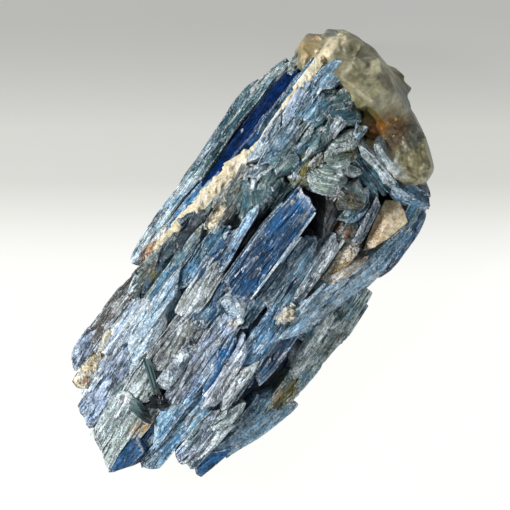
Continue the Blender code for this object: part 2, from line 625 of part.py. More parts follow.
def side_of_parting(name, far_y, shift):
    """Everything on one side of the parting, as a cutter."""
    line = [(x, y + shift) for x, y in PARTING_LINE]
    line += [(PARTING_LINE[-1][0], far_y), (PARTING_LINE[0][0], far_y)]
    return make_outline_solid(name, line, -10.0, CREST_HEIGHT + 12.0, cutters)


for leftover in list(bpy.data.objects):
    bpy.data.objects.remove(leftover)
specimen = bpy.data.collections.new("kyanite blade cluster")
cutters = bpy.data.collections.new("cutters")
bpy.context.scene.collection.children.link(specimen)
bpy.context.scene.collection.children.link(cutters)

vein, head, broad_prism, slender_prism, wedge = mineral_set(0.0)
vein_room, head_room, broad_room, slender_room, wedge_room = mineral_set(GAP)
below_base = make_big_box("below the base", (-90, -60, -40), (90, 60, 0))
behind_parting = side_of_parting("behind the parting", 60.0, 0.0)
before_parting = side_of_parting("before the parting", -60.0, GAP)

random.seed(SEED)
bundle_pieces = [make_bar(f"heart {i}", *row, cutters) for i, row in enumerate(HEART)]
bundle_pieces += [blade_on_dome(f"blade {i}", row, 0.0) for i, row in enumerate(BUNDLE_BLADES)]
bundle_pieces += flank_blades("low flank", LOW_EDGE, -1, FLANK_START, FLANK_STOP)
bundle_pieces += flank_blades("back flank", BACK_EDGE, 1, FLANK_START, -14.0)
bundle_pieces += underside_blades()
bundle = unite("kyanite_bundle", bundle_pieces, cutters)

sheaf_pieces = [make_bar(f"sheaf heart {i}", *row, cutters) for i, row in enumerate(SHEAF_HEART)]
sheaf_pieces += [blade_on_dome(f"sheaf blade {i}", row, SHEAF_DROP) for i, row in enumerate(SHEAF_BLADES)]
sheaf_pieces += flank_blades("sheaf flank", SHEAF_EDGE, 1, SHEAF_FLANK_START, SHEAF_FLANK_STOP)
sheaf = unite("kyanite_back_sheaf", sheaf_pieces, cutters)

cut_away(bundle, (behind_parting, vein_room, head_room, broad_room, slender_room, wedge_room, below_base))
cut_away(sheaf, (before_parting, vein_room, head_room, below_base))
cut_away(vein, (head_room,))
cut_away(head, (below_base,))

dress(bundle, (0.16, 0.26, 0.42), 0.4)
dress(sheaf, (0.12, 0.19, 0.33), 0.4)
dress(vein, (0.78, 0.68, 0.50), 0.7)
dress(head, (0.33, 0.30, 0.21), 0.3)
dress(broad_prism, (0.05, 0.08, 0.07), 0.35)
dress(slender_prism, (0.06, 0.09, 0.08), 0.35)
dress(wedge, (0.50, 0.38, 0.24), 0.35)

for piece in (vein, head, broad_prism, slender_prism, wedge):
    cutters.objects.unlink(piece)
for piece in (bundle, sheaf):
    cutters.objects.unlink(piece)
for piece in (bundle, sheaf, head, vein, wedge, broad_prism, slender_prism):
    specimen.objects.link(piece)
for tool in cutters.objects:
    tool.hide_render = True
    tool.display_type = "WIRE"
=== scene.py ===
"""Dresses the kyanite blade cluster: every blade becomes a sheaf of thin split plates, the quartz head and
the cream vein become grown-together grains, and each mineral gets its own surface.

Lengths in the tables are millimetres in the frame of the part; MM turns them into metres. Turns in the
tables are degrees.
"""

import json
import math
import random

import bmesh
import bpy
import numpy as np
from mathutils import Matrix, Vector

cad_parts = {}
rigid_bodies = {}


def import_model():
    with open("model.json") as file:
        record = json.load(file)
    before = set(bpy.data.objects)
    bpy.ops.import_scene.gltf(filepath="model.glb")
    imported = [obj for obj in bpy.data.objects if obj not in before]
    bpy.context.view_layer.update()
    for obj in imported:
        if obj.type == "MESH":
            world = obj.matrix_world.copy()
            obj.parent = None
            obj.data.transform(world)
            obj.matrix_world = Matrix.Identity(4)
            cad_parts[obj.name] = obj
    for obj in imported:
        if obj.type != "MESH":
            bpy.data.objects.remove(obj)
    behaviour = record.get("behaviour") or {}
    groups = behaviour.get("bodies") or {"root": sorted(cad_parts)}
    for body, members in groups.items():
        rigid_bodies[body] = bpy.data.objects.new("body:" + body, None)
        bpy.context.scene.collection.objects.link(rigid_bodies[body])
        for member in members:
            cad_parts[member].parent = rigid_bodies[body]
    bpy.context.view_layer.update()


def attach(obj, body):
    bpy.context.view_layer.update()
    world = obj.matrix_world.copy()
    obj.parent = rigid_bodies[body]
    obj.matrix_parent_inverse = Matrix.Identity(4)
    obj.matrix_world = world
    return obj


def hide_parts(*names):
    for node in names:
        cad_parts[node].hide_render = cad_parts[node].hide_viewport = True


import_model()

MM = 0.001
SEED = 23


# ---------------------------------------------------------------- colours

def srgb(*levels):
    """A screen colour, each level 0 to 255, as the linear colour that nodes take."""
    shares = [level / 255.0 for level in levels]
    return tuple(share / 12.92 if share <= 0.04045 else ((share + 0.055) / 1.055) ** 2.4 for share in shares)


TONES = {
    "navy": srgb(0, 36, 84), "denim": srgb(24, 72, 112), "royal": srgb(22, 88, 138),
    "mid": srgb(80, 126, 162), "steel": srgb(102, 142, 166), "sky": srgb(148, 184, 210),
    "lilac": srgb(158, 176, 204), "pale": srgb(192, 204, 210), "white": srgb(238, 244, 248),
    "slate": srgb(58, 84, 104), "teal": srgb(42, 88, 104), "deepteal": srgb(24, 50, 60),
    "greygreen": srgb(92, 116, 116), "palegreen": srgb(150, 166, 156), "mauve": srgb(122, 132, 144),
    "beige": srgb(160, 164, 160), "brown": srgb(84, 76, 62), "olive": srgb(104, 98, 44),
    "tan": srgb(186, 158, 108), "rust": srgb(146, 92, 34), "amber": srgb(112, 74, 20),
    "cream": srgb(242, 228, 190), "dark": srgb(16, 28, 42), "black": srgb(8, 10, 12),
}

# ---------------------------------------------------------------- the form, as in the solids

CREST_HEIGHT = 32.0
CREST_X = 20.0
FREE_END_DROP = 18.0
FREE_END_X = -60.0
CREST_Y = 4.0
FLANK_REACH = 34.0
BACK_REACH = 29.0
FLANK_DROP = 0.68
FLANK_CURVE = 2.4
SHEAF_DROP = 4.6
BLADE_DEPTH = 9.0

# One row a blade: x and y of its start, x and y of its end, width, lift above the dome, roll, its main and
# second tone, and how finely it is split into laths (0 is one smooth face). Some rows add the shape of the
# start and of the end: how pointed it is, and where across the blade its tip lies, from -0.5 to 0.5 at
# the edges.
BUNDLE_BLADES = (
    # Upper side of the free end: slate knob, grey and stained blades.
    (-44.4, 22.7, -33.0, 23.1, 4.4, 0.8, 4, "slate", "lilac", 0.6, 0.7, -0.2, 0.6, 0.0),
    (-38.5, 23.0, -19.0, 22.4, 4.8, 0.2, -3, "mauve", "brown", 1.0, 0.4, 0.4, 1.2, 0.0),
    (-27.0, 22.6, -8.5, 20.4, 3.9, -0.4, 5, "brown", "greygreen", 1.2),
    (-48.6, 18.0, -33.0, 19.6, 4.4, -0.9, 6, "beige", "cream", 1.0, 1.0, -0.5, 0.8, 0.0),
    (-38.0, 19.2, -19.0, 18.6, 3.8, -0.3, -4, "lilac", "pale", 1.1),
    (-51.0, 16.4, -36.0, 16.8, 3.2, -0.5, -6, "pale", "lilac", 1.0, 0.9, -0.5, 0.8, 0.0),
    (-24.0, 19.2, 1.5, 18.0, 4.0, -3.6, 8, "dark", "slate", 1.0),
    # Pale lilac-blue striated blades.
    (-53.8, 13.2, -29.0, 13.8, 5.0, 0.2, 2, "slate", "lilac", 1.0, 0.55, -0.5, 0.8, 0.0),
    (-40.0, 16.4, -18.0, 16.6, 2.8, -0.4, 3, "lilac", "pale", 1.0),
    (-33.0, 14.6, -9.5, 13.9, 3.6, 0.9, -2, "pale", "sky", 1.0),
    (-38.0, 11.4, -18.6, 11.3, 3.6, 0.3, 2, "sky", "pale", 1.0),
    (-21.0, 16.6, 2.0, 15.3, 3.0, -0.2, 4, "mid", "greygreen", 1.0),
    (-15.6, 11.9, 5.5, 12.2, 3.6, -0.6, -3, "mid", "teal", 1.0),
    (-54.6, 10.0, -36.0, 10.0, 3.0, -0.3, 5, "greygreen", "pale", 1.0, 0.5, -0.5, 0.8, 0.0),
    # Pale block, purple-grey blades and the sparkling zone.
    (-56.8, 7.2, -41.0, 7.8, 4.2, 0.4, 3, "white", "greygreen", 0.5, 0.6, -0.5, 0.3, 0.0),
    (-59.2, 3.2, -42.0, 4.4, 4.4, -0.3, -2, "pale", "palegreen", 0.5, 0.6, -0.4, 0.3, 0.0),
    (-43.0, 5.8, -29.0, 6.2, 6.0, -0.6, 3, "pale", "palegreen", 0.9, 0.3, 0.3, 0.6, 0.4),
    (-34.0, 6.8, -17.0, 6.4, 5.4, 0.5, -2, "mauve", "beige", 1.2, 0.5, 0.4, 0.2, 0.4),
    (-36.0, 2.4, -16.0, 2.2, 4.4, -0.7, 3, "slate", "white", 1.4),
    (-50.5, 1.2, -40.0, 0.6, 3.2, -1.3, 4, "tan", "pale", 1.0),
    (-60.0, -0.1, -48.4, -1.3, 4.4, -0.4, -14, "denim", "denim", 0.2, 1.3, 0.2, 0.5, 0.4),
    # Mid-blue and lilac-white blades below them.
    (-50.0, -3.2, -30.0, -4.0, 4.2, -0.6, -4, "mid", "sky", 0.9),
    (-54.6, -5.9, -29.0, -9.2, 4.2, -1.4, -8, "mid", "steel", 0.9, 1.0, 0.2, 0.8, 0.0),
    (-39.0, -1.5, -13.5, -1.6, 3.6, 0.3, 2, "lilac", "mauve", 1.4),
    (-35.0, -4.2, -13.0, -3.8, 2.8, -0.3, -3, "lilac", "mid", 1.3),
    (-33.0, -6.8, -14.0, -6.0, 3.4, 0.2, -5, "royal", "royal", 0.9),
    (-34.0, -10.2, -13.5, -8.8, 3.2, 0.5, 12, "white", "lilac", 1.0),
    (-32.0, -12.4, -17.0, -13.0, 3.2, 0.1, 12, "white", "pale", 1.0),
    (-24.0, -11.2, -1.0, -11.2, 6.2, -0.2, -3, "mid", "mid", 0.9),
    (-22.0, -15.6, -4.0, -16.4, 3.6, -0.8, -6, "mid", "navy", 1.0),
    # Lower flank of the free end.
    (-48.4, -11.4, -32.0, -12.6, 3.8, -0.6, -5, "greygreen", "lilac", 1.2, 0.5, -0.3, 1.0, 0.0),
    (-47.8, -14.2, -33.0, -15.8, 3.0, -0.9, -8, "slate", "pale", 1.1, 0.3, 0.3, 1.0, 0.0),
    (-37.0, -14.0, -27.0, -16.2, 3.2, 0.2, -3, "pale", "greygreen", 0.7, 1.0, 0.0, 1.5, -0.2),
    (-47.8, -16.0, -37.3, -18.8, 4.0, -1.2, -16, "denim", "royal", 0.2, 0.5, -0.2, 1.6, -0.4),
    (-40.0, -12.0, -6.0, -19.6, 4.4, -6.0, -6, "navy", "dark", 0.8),
    (-37.0, -18.4, -19.0, -20.4, 3.2, -2.0, -8, "teal", "steel", 1.0),
    (-43.5, -18.4, -24.0, -23.8, 4.6, -1.2, -4, "sky", "steel", 0.4, 1.0, 0.2, 0.8, 0.0),
    (-39.0, -20.4, -19.8, -26.6, 3.8, -1.9, -4, "steel", "sky", 0.35, 1.2, 0.3, 0.9, -0.4),
    (-27.0, -22.6, -14.0, -23.2, 4.4, -1.4, -8, "greygreen", "olive", 0.9),
    (-18.0, -22.4, 3.0, -22.4, 3.4, -1.5, 3, "palegreen", "pale", 1.1),
    (-24.0, -24.6, 12.0, -25.6, 4.0, -2.2, -8, "steel", "palegreen", 1.0, 0.6, 0.3, 0.6, 0.0),
    (-11.0, -26.5, 12.0, -26.3, 2.8, -3.0, -16, "steel", "greygreen", 0.9, 2.0, 0.4, 1.6, 0.4),
    # The long light-blue blade that fans out along the flank, and its pale tips.
    (-11.0, -16.4, 10.0, -20.4, 4.6, 0.3, 9, "sky", "sky", 1.0),
    (-1.0, -18.6, 23.0, -25.6, 4.6, 0.0, 8, "sky", "sky", 1.0),
    (-7.0, -14.2, 7.0, -16.8, 3.2, 0.7, 2, "sky", "steel", 1.0),
    (2.0, -15.8, 11.8, -19.8, 2.2, 1.0, -4, "pale", "sky", 0.8, 1.0, 0.0, 1.8, -0.3),
    (8.0, -17.4, 18.8, -20.9, 2.6, 0.6, 3, "pale", "tan", 0.8, 1.0, 0.0, 1.8, -0.3),
    (-2.0, -22.8, 14.0, -23.6, 3.0, -1.0, -6, "greygreen", "teal", 1.1),
    (12.0, -21.6, 31.0, -25.2, 4.2, -0.4, -7, "steel", "mid", 0.9),
    (14.0, -26.0, 36.6, -25.7, 3.5, -1.4, -12, "mid", "denim", 0.6, 1.2, 0.4, 1.2, 0.3),
    (25.0, -24.4, 38.8, -22.6, 4.2, -0.8, -6, "mid", "teal", 0.6, 1.0, 0.3, 0.6, 0.2),
    # The raised royal-blue blade and what lies beside it.
    (-8.0, 0.7, 22.4, -0.7, 6.4, 2.2, 3, "royal", "denim", 0.7, 0.6, 0.0, 0.25, 0.5),
    (-9.0, 3.2, 17.0, 2.0, 3.8, 1.3, 8, "denim", "teal", 0.8),
    (-13.0, -1.0, -5.0, -0.8, 6.6, 1.1, -6, "steel", "pale", 0.5),
    (-21.0, 3.2, -5.0, 3.4, 5.4, 0.3, 4, "denim", "steel", 1.0, 0.6, 0.4, 0.5, 0.4),
    (-17.0, -2.2, -4.0, -2.6, 4.2, -0.2, -3, "steel", "lilac", 0.8, 0.4, 0.4, 0.5, 0.4),
    (-14.0, -5.6, 9.5, -4.5, 3.0, -0.8, -6, "slate", "steel", 1.1),
    (-19.0, 7.8, -1.0, 7.7, 5.0, 1.2, 2, "beige", "pale", 1.1, 0.2, 0.4, 0.9, 0.4),
    (-12.0, 9.6, 8.0, 9.2, 3.0, 0.9, 3, "mid", "denim", 0.9, 0.5, 0.0, 1.4, -0.5),
    (-5.0, 6.5, 13.4, 8.3, 2.0, 1.9, -3, "sky", "royal", 0.6, 0.5, 0.0, 2.4, -0.1),
    (-6.0, -3.3, 19.5, -4.1, 0.5, 2.3, -10, "sky", "white", 0.5, 1.0, 0.0, 1.0, 0.0),
    # Below the hollow: grey-blue blade, pale-edged lath, brown and tan blades.
    (-6.0, -8.6, 15.0, -8.6, 6.0, -0.2, -2, "slate", "steel", 0.8, 0.6, 0.0, 1.1, 0.1),
    (-1.0, -12.4, 18.2, -12.4, 2.8, 0.4, -3, "slate", "pale", 0.8, 0.8, 0.0, 0.6, 0.4),
    (13.0, -13.6, 23.0, -12.4, 4.2, -1.8, -4, "brown", "rust", 1.0),
    (5.0, -15.8, 18.0, -16.8, 4.2, -0.9, -4, "beige", "olive", 0.9),
    (13.5, -8.0, 27.0, -7.2, 7.0, -3.6, 12, "mauve", "brown", 0.45, 1.4, -0.4, 0.2, 0.0),
    # Painted shade: a black blade sunk deep in the hollow, so that it reads as a dark gap.
    (8.0, -6.0, 16.0, -6.0, 6.0, -7.5, 0, "dark", "black", 0.4, 0.2, 0.0, 0.2, 0.0),
    # Jumble of short grey-green crystals between the raised blades and the upper sheet.
    (0.5, 14.4, 10.0, 14.0, 3.4, -1.4, 6, "cream", "greygreen", 1.0),
    (4.0, 12.2, 18.0, 13.2, 2.8, -0.8, 5, "greygreen", "slate", 1.1),
    (6.0, 16.0, 20.5, 15.0, 2.6, -0.6, 8, "brown", "beige", 1.2),
    (8.0, 10.2, 18.0, 10.4, 2.2, -1.2, -4, "greygreen", "brown", 1.0),
    (13.4, 6.4, 23.6, 5.4, 4.8, -1.8, 4, "teal", "greygreen", 1.0),
    (16.4, 10.4, 22.4, 8.6, 5.0, -0.1, -3, "beige", "pale", 1.1),
    (17.0, 13.4, 23.0, 12.6, 2.8, -0.4, 4, "greygreen", "slate", 1.0),
    # Upper sheet that runs to the quartz head.
    (20.0, 15.0, 35.0, 15.3, 2.6, 0.9, 4, "pale", "steel", 1.2),
    (31.0, 14.6, 47.0, 15.0, 2.6, 0.6, 2, "steel", "lilac", 1.2),
    (20.5, 12.8, 36.0, 12.0, 3.0, 1.2, 2, "slate", "steel", 1.2),
    (33.0, 12.6, 49.0, 13.0, 3.0, 0.9, -3, "steel", "teal", 1.2),
    (21.5, 10.4, 33.0, 9.0, 3.0, 0.8, -6, "teal", "greygreen", 1.2),
    (29.0, 10.8, 46.0, 10.2, 3.0, 0.4, 3, "slate", "greygreen", 1.2),
    (22.6, 6.8, 34.5, 7.0, 3.6, 0.1, -3, "deepteal", "steel", 1.2),
    (32.0, 8.2, 47.0, 8.0, 3.2, -0.2, 2, "teal", "pale", 1.2),
    (40.0, 5.6, 48.0, 5.8, 3.8, -0.9, -4, "greygreen", "pale", 1.2),
    (43.0, 12.0, 52.4, 11.6, 4.6, 1.8, 4, "slate", "steel", 0.5, 0.6, 0.3, 0.35, 0.0),
    (30.0, 4.6, 37.0, 5.6, 3.0, -0.6, 5, "greygreen", "pale", 1.1),
    (35.4, 3.6, 41.8, 3.4, 2.4, 0.6, -3, "teal", "pale", 0.9),
    # Short crystals set across the blades between the hollow and the head.
    (24.4, 2.2, 27.0, -6.0, 4.0, 0.7, 12, "palegreen", "greygreen", 0.7, 0.15, 0.2, 0.3, 0.0),
    (31.2, 0.6, 33.0, -8.0, 2.6, -0.3, -12, "greygreen", "pale", 0.6, 0.7, 0.0, 0.8, 0.2),
    (23.6, -8.0, 31.6, -8.8, 5.0, -0.6, -3, "brown", "palegreen", 1.0),
    (21.0, -11.6, 31.8, -12.4, 4.0, -0.8, -4, "greygreen", "steel", 1.0),
    (17.8, -16.6, 31.2, -14.9, 2.4, -0.2, 2, "mauve", "slate", 0.9),
    (34.2, -2.6, 30.6, -15.2, 3.0, -1.2, 4, "deepteal", "teal", 0.7, 0.8, 0.4, 1.2, -0.3),
    (36.0, -3.6, 32.6, -16.0, 2.6, -0.5, -3, "deepteal", "teal", 0.6, 1.4, 0.3, 1.2, 0.3),
    (37.8, -3.0, 34.8, -16.4, 2.8, 0.1, -3, "greygreen", "pale", 0.4, 1.6, 0.2, 0.8, 0.0),
    (39.6, -6.0, 37.2, -16.6, 3.0, -0.2, 8, "pale", "greygreen", 0.3, 1.2, 0.2, 0.8, 0.0),
    (30.8, -0.4, 38.0, 0.2, 2.0, 0.2, -5, "pale", "greygreen", 0.9),
    (31.4, -2.8, 40.0, -3.2, 3.0, -1.0, 3, "brown", "olive", 1.0),
    (37.0, 0.0, 43.6, -1.4, 3.6, -0.6, 4, "greygreen", "steel", 1.0),
    (33.6, -15.8, 35.0, -25.6, 3.6, 0.3, 3, "teal", "mid", 0.6, 0.7, 0.2, 0.5, 0.3),
    (36.4, -15.0, 37.2, -24.8, 3.6, -0.3, -4, "teal", "denim", 0.6, 0.6, 0.0, 0.5, 0.3),
)

# Blades that lie lower, and close the gaps between the others.
UNDERLAY = (
    (-50.0, 9.0, -4.0, 10.0, 9.0, -2.0, 3, "slate", "steel", 0.9),
    (-55.0, 2.6, -6.0, 2.0, 8.0, -2.2, 0, "slate", "mauve", 0.9),
    (-52.0, -4.4, -4.0, -4.0, 8.0, -2.2, -3, "denim", "slate", 0.9),
    (-46.0, -11.4, -22.0, -11.6, 6.0, -2.4, -6, "slate", "steel", 0.9),
    (-30.0, -10.6, 8.0, -13.4, 8.0, -2.2, -5, "denim", "steel", 0.9),
    (-44.0, 17.6, -8.0, 18.4, 7.0, -2.6, 4, "slate", "greygreen", 0.9),
    (-10.0, 13.6, 26.0, 12.4, 9.0, -2.6, 4, "deepteal", "greygreen", 0.9),
    # Painted shade: a navy-black blade sunk low that darkens the slot beside the raised blades.
    (-12.0, 5.6, 12.0, 5.0, 4.0, -4.6, 2, "navy", "dark", 0.9),
    (20.0, 8.4, 46.0, 9.0, 12.0, -2.2, 2, "deepteal", "teal", 0.9),
    (24.0, -10.6, 36.0, -10.6, 14.0, -3.2, -4, "brown", "deepteal", 0.9),
    (-8.0, -18.8, 30.0, -21.6, 8.0, -2.6, -8, "slate", "teal", 0.9),
)

SHEAF_BLADES = (
    (-15.4, 25.8, 12.0, 25.2, 3.6, 0.4, 4, "steel", "pale", 1.0, 1.2, 0.1, 1.0, 0.0),
    (-13.4, 23.5, -2.0, 22.6, 2.8, -0.2, 2, "pale", "tan", 1.0),
    (-7.0, 22.6, 12.0, 21.4, 3.4, -0.4, 4, "royal", "mid", 0.7),
    (9.0, 21.4, 47.6, 19.2, 5.2, -1.0, 7, "navy", "navy", 0.1, 1.0, 0.1, 1.4, 0.2),
    (9.0, 24.4, 45.0, 23.2, 3.2, 0.7, -2, "greygreen", "teal", 1.1),
    (15.0, 25.8, 38.0, 25.4, 3.6, -0.2, 5, "greygreen", "teal", 1.1, 2.0, -0.1, 1.6, 0.3),
    (33.0, 24.9, 46.5, 22.0, 2.8, 0.1, 3, "teal", "beige", 1.1),
    (41.0, 21.4, 50.0, 20.4, 2.6, 0.2, -3, "greygreen", "beige", 1.0),
    # Narrow blades that lean against the vein.
    (-1.0, 22.0, 16.0, 20.4, 2.0, 1.0, -58, "steel", "royal", 0.8),
    (12.0, 20.2, 32.0, 18.6, 2.2, 1.4, -62, "royal", "navy", 0.6),
    (26.0, 18.7, 48.0, 18.2, 2.2, 1.9, -62, "denim", "slate", 0.6),
    (33.0, 18.1, 50.0, 17.8, 1.8, 3.4, -66, "slate", "mid", 0.7),
)

# Heart of the bundle and of the sheaf: x ends, y ends, width, height of the top at each end.
HEART = (
    (-45.0, 46.0, 8.0, 9.0, 14.0, 15.0, 24.0),
    (-44.0, 46.0, -1.0, -1.5, 12.0, 14.0, 21.5),
    (-38.0, 44.0, -10.0, -10.5, 11.0, 10.5, 17.5),
    (-34.0, 40.0, -17.5, -18.5, 9.0, 6.5, 11.0),
    (-30.0, 6.0, 16.6, 15.0, 8.0, 13.5, 18.0),
)
SHEAF_HEART = (
    (-3.0, 46.0, 21.6, 19.4, 4.6, 14.5, 17.5),
)
HEART_FOOT = 4.4
HEART_SINK = 0.6  # how far a bar's top lies below its row's height
HEART_SHARE = 0.85  # how wide a bar is, of its row's width

# Rows of blades down a flank: height of their tops, inset from the edge, width and roll.
FLANK_ROWS = ((11.0, 0.6, 5.5, 58), (7.4, 1.6, 5.2, 66), (4.4, 4.6, 5.2, 44))
SHEAF_ROWS = ((15.0, -0.2, 4.6, 50), (12.2, 0.0, 5.2, 64), (8.6, 0.6, 5.5, 74), (5.2, 2.4, 5.5, 56))
FLANK_STEP = 19.0
LOWER_STARTS = 2.2  # how much later a row starts for each millimetre that it lies lower
FLANK_LENGTH = 27.0
FLANK_START, FLANK_STOP = -47.0, 34.0
FLANK_JITTER, FLANK_TILT, FLANK_SWAY = 3.0, 0.8, 8  # how much a flank's blades vary in place, rise and roll
FLANK_OVERRUN = 8.0  # how far a row's last blade may run on
# Edges of the bundle and of the sheaf, as x and y.
LOW_EDGE = ((-58.0, -1.0), (-47.0, -13.0), (-38.0, -20.0), (-22.0, -25.5), (30.0, -26.1), (40.0, -22.0))
BACK_EDGE = ((-58.0, 4.0), (-50.0, 15.0), (-42.0, 22.5), (-24.0, 23.0), (-8.0, 22.0), (40.0, 15.0))
SHEAF_EDGE = ((-14.0, 25.0), (8.0, 25.6), (36.0, 25.6), (48.0, 21.5))
SHEAF_FLANK_START, SHEAF_FLANK_STOP = -10.0, 38.0
UNDERSIDE_RISE = 3.0
UNDERSIDE_JITTER, UNDERSIDE_STAGGER = 4.0, 5.0  # how much its rows vary, and every other one is set on
UNDERSIDE_PLACES = (-14.0, -7.0, 0.5, 7.5, 14.0)
UNDERSIDE_STARTS = (-36.0, -12.0, 13.0)
UNDERSIDE_LENGTH = 30.0
UNDERSIDE_STOP = 42.0
UNDERSIDE_WIDTH = 7.6


def dome(x, y):
    """Height of the blades' top faces at a place on the bundle."""
    reach = BACK_REACH if y > CREST_Y else FLANK_REACH
    fall = 1.0 - FLANK_DROP * min(abs(y - CREST_Y) / reach, 1.0) ** FLANK_CURVE
    along = max(CREST_X - x, 0.0) / (CREST_X - FREE_END_X)
    return (CREST_HEIGHT - FREE_END_DROP * along ** 2) * fall


def dome_roll(x, y):
    """Slope of the dome across the blades, as a turn about +X."""
    return math.atan((dome(x, y + 1.0) - dome(x, y - 1.0)) / 2.0)


def on_dome(x, y, lift):
    """A place at a height above the dome."""
    return Vector((x, y, dome(x, y) + lift))


def edge_at(points, x):
    """y of an edge at x."""
    for (x0, y0), (x1, y1) in zip(points, points[1:]):
        if x <= x1:
            return y0 + (y1 - y0) * (x - x0) / (x1 - x0)
    return points[-1][1]


# ---------------------------------------------------------------- modelling helpers

def start_clean():
    """Leaves the CAD nodes unselected, so that no operator acts on them."""
    bpy.ops.object.select_all(action="DESELECT")


def take(piece):
    """Makes the piece the only selected and the active object."""
    bpy.ops.object.select_all(action="DESELECT")
    piece.select_set(True)
    bpy.context.view_layer.objects.active = piece


def pick_none(mesh):
    """Deselects all of a mesh."""
    for part in (mesh.vertices, mesh.edges, mesh.polygons):
        part.foreach_set("select", [False] * len(part))


def pick_edges(piece, wanted):
    """Selects the edges that a test of their two ends accepts, and nothing else."""
    mesh = piece.data
    pick_none(mesh)
    for edge in mesh.edges:
        first, second = (mesh.vertices[i].co for i in edge.vertices)
        edge.select = wanted(first, second)


def pick_faces(piece, wanted):
    """Selects the faces that a test of their centre and normal accepts, and nothing else."""
    pick_none(piece.data)
    for face in piece.data.polygons:
        face.select = wanted(face.center, face.normal)


def in_edit(*steps):
    """Runs mesh operators in edit mode."""
    bpy.ops.object.mode_set(mode="EDIT")
    for operator, settings in steps:
        operator(**settings)
    bpy.ops.object.mode_set(mode="OBJECT")


def slice_off(piece, point, normal):
    """Cuts away what lies beyond a plane and closes the cut."""
    take(piece)
    in_edit(
        (bpy.ops.mesh.select_all, {"action": "SELECT"}),
        (bpy.ops.mesh.bisect, {"plane_co": point, "plane_no": normal, "use_fill": True, "clear_outer": True}),
    )


def apply(piece, modifier):
    """Applies a modifier to its piece."""
    take(piece)
    bpy.ops.object.modifier_apply(modifier=modifier.name)


def throw_away(piece):
    """Removes an object and its mesh."""
    mesh = piece.data
    bpy.data.objects.remove(piece)
    bpy.data.meshes.remove(mesh)


def corner_points(mesh):
    """The places of a mesh's vertices, and for each face corner the number of its vertex."""
    points = np.empty(len(mesh.vertices) * 3)
    mesh.vertices.foreach_get("co", points)
    at_corner = np.empty(len(mesh.loops), dtype=int)
    mesh.loops.foreach_get("vertex_index", at_corner)
    return points.reshape(-1, 3), at_corner


def any_direction(chance):
    """A random direction; its length is random as well."""
    return Vector([chance.gauss(0, 1) for _ in range(3)])


def any_turn(chance):
    """A random turn about a random axis."""
    return Matrix.Rotation(chance.uniform(0, math.tau), 4, any_direction(chance))


def shelf(name):
    """A collection for shapes that are modelled once and copied."""
    made = bpy.data.collections.new(name)
    bpy.context.scene.collection.children.link(made)
    return made


def put_on(piece, collection):
    """Moves a piece to one collection."""
    for holder in list(piece.users_collection):
        holder.objects.unlink(piece)
    collection.objects.link(piece)
    return piece


start_clean()
patterns = shelf("patterns")


TOP_SETBACK = 0.012  # how far the upper edge of a lath's end lies behind the lower one
GRAIN_FACES = 9
GRAIN_REACH = (0.36, 0.5)  # nearest and furthest face of a grain, from its middle


def lath_pattern(name, chamfer, near_slant, far_slant, near_pinch, far_pinch):
    """A lath one unit long, wide and deep, its top face at z 0: both ends slanted and drawn in."""
    bpy.ops.mesh.primitive_cube_add(size=1.0, location=(0, 0, -0.5))
    lath = bpy.context.object
    lath.name = name
    bpy.ops.object.transform_apply(location=True)
    for side, slant, pinch in ((-1, near_slant, near_pinch), (1, far_slant, far_pinch)):
        pick_faces(lath, lambda centre, normal: normal.x * side > 0.5)
        narrower = {"value": (1.0, 1.0 - pinch, 1.0), "center_override": (side * 0.5, 0, 0)}
        in_edit((bpy.ops.transform.resize, narrower))
        for vertex in lath.data.vertices:
            if vertex.co.x * side > 0.25 and vertex.co.y > 0:
                vertex.co.x -= side * slant
            if vertex.co.x * side > 0.25 and vertex.co.z > -0.5:
                vertex.co.x -= side * TOP_SETBACK
    pick_edges(lath, lambda a, b: a.z > -0.1 and b.z > -0.1 and abs(a.x - b.x) > 0.5)
    in_edit((bpy.ops.mesh.bevel, {"offset": chamfer, "segments": 1}))
    return put_on(lath, patterns)


def grain_pattern(name, seed):
    """A crystal grain about one unit across, with irregular flat faces."""
    chance = random.Random(seed)
    bpy.ops.mesh.primitive_cube_add(size=1.0)
    grain = bpy.context.object
    grain.name = name
    for _ in range(GRAIN_FACES):
        direction = any_direction(chance).normalized()
        slice_off(grain, direction * chance.uniform(*GRAIN_REACH), direction)
    return put_on(grain, patterns)


LATHS = [
    lath_pattern("lath square", 0.14, 0.010, -0.012, 0.05, 0.05),
    lath_pattern("lath slanted", 0.18, 0.035, 0.045, 0.10, 0.15),
    lath_pattern("lath pointed", 0.16, -0.020, 0.060, 0.10, 0.70),
    lath_pattern("lath splinter", 0.12, 0.030, -0.050, 0.60, 0.30),
    lath_pattern("lath flat", 0.07, -0.040, 0.020, 0.00, 0.10),
]
BED = lath_pattern("lath bed", 0.05, 0.0, 0.0, 0.0, 0.0)
GRAINS = [grain_pattern(f"grain {number}", 40 + number) for number in range(6)]


GRAIN_FIELD = 400.0  # how far apart the grain coordinates of two copies may start
CHAMFER_LEAN = (0.25, 0.9)  # how far up the normal of a chamfer points
NEAR_FIRST, NEAR_SECOND = (0.0, 0.35), (0.6, 1.0)  # how much of the second tone a lath's tone has
WHITENED, DARKENED = 0.6, 0.35  # how white a bright lath is, a painted glint, and what is left of a dark one's tone
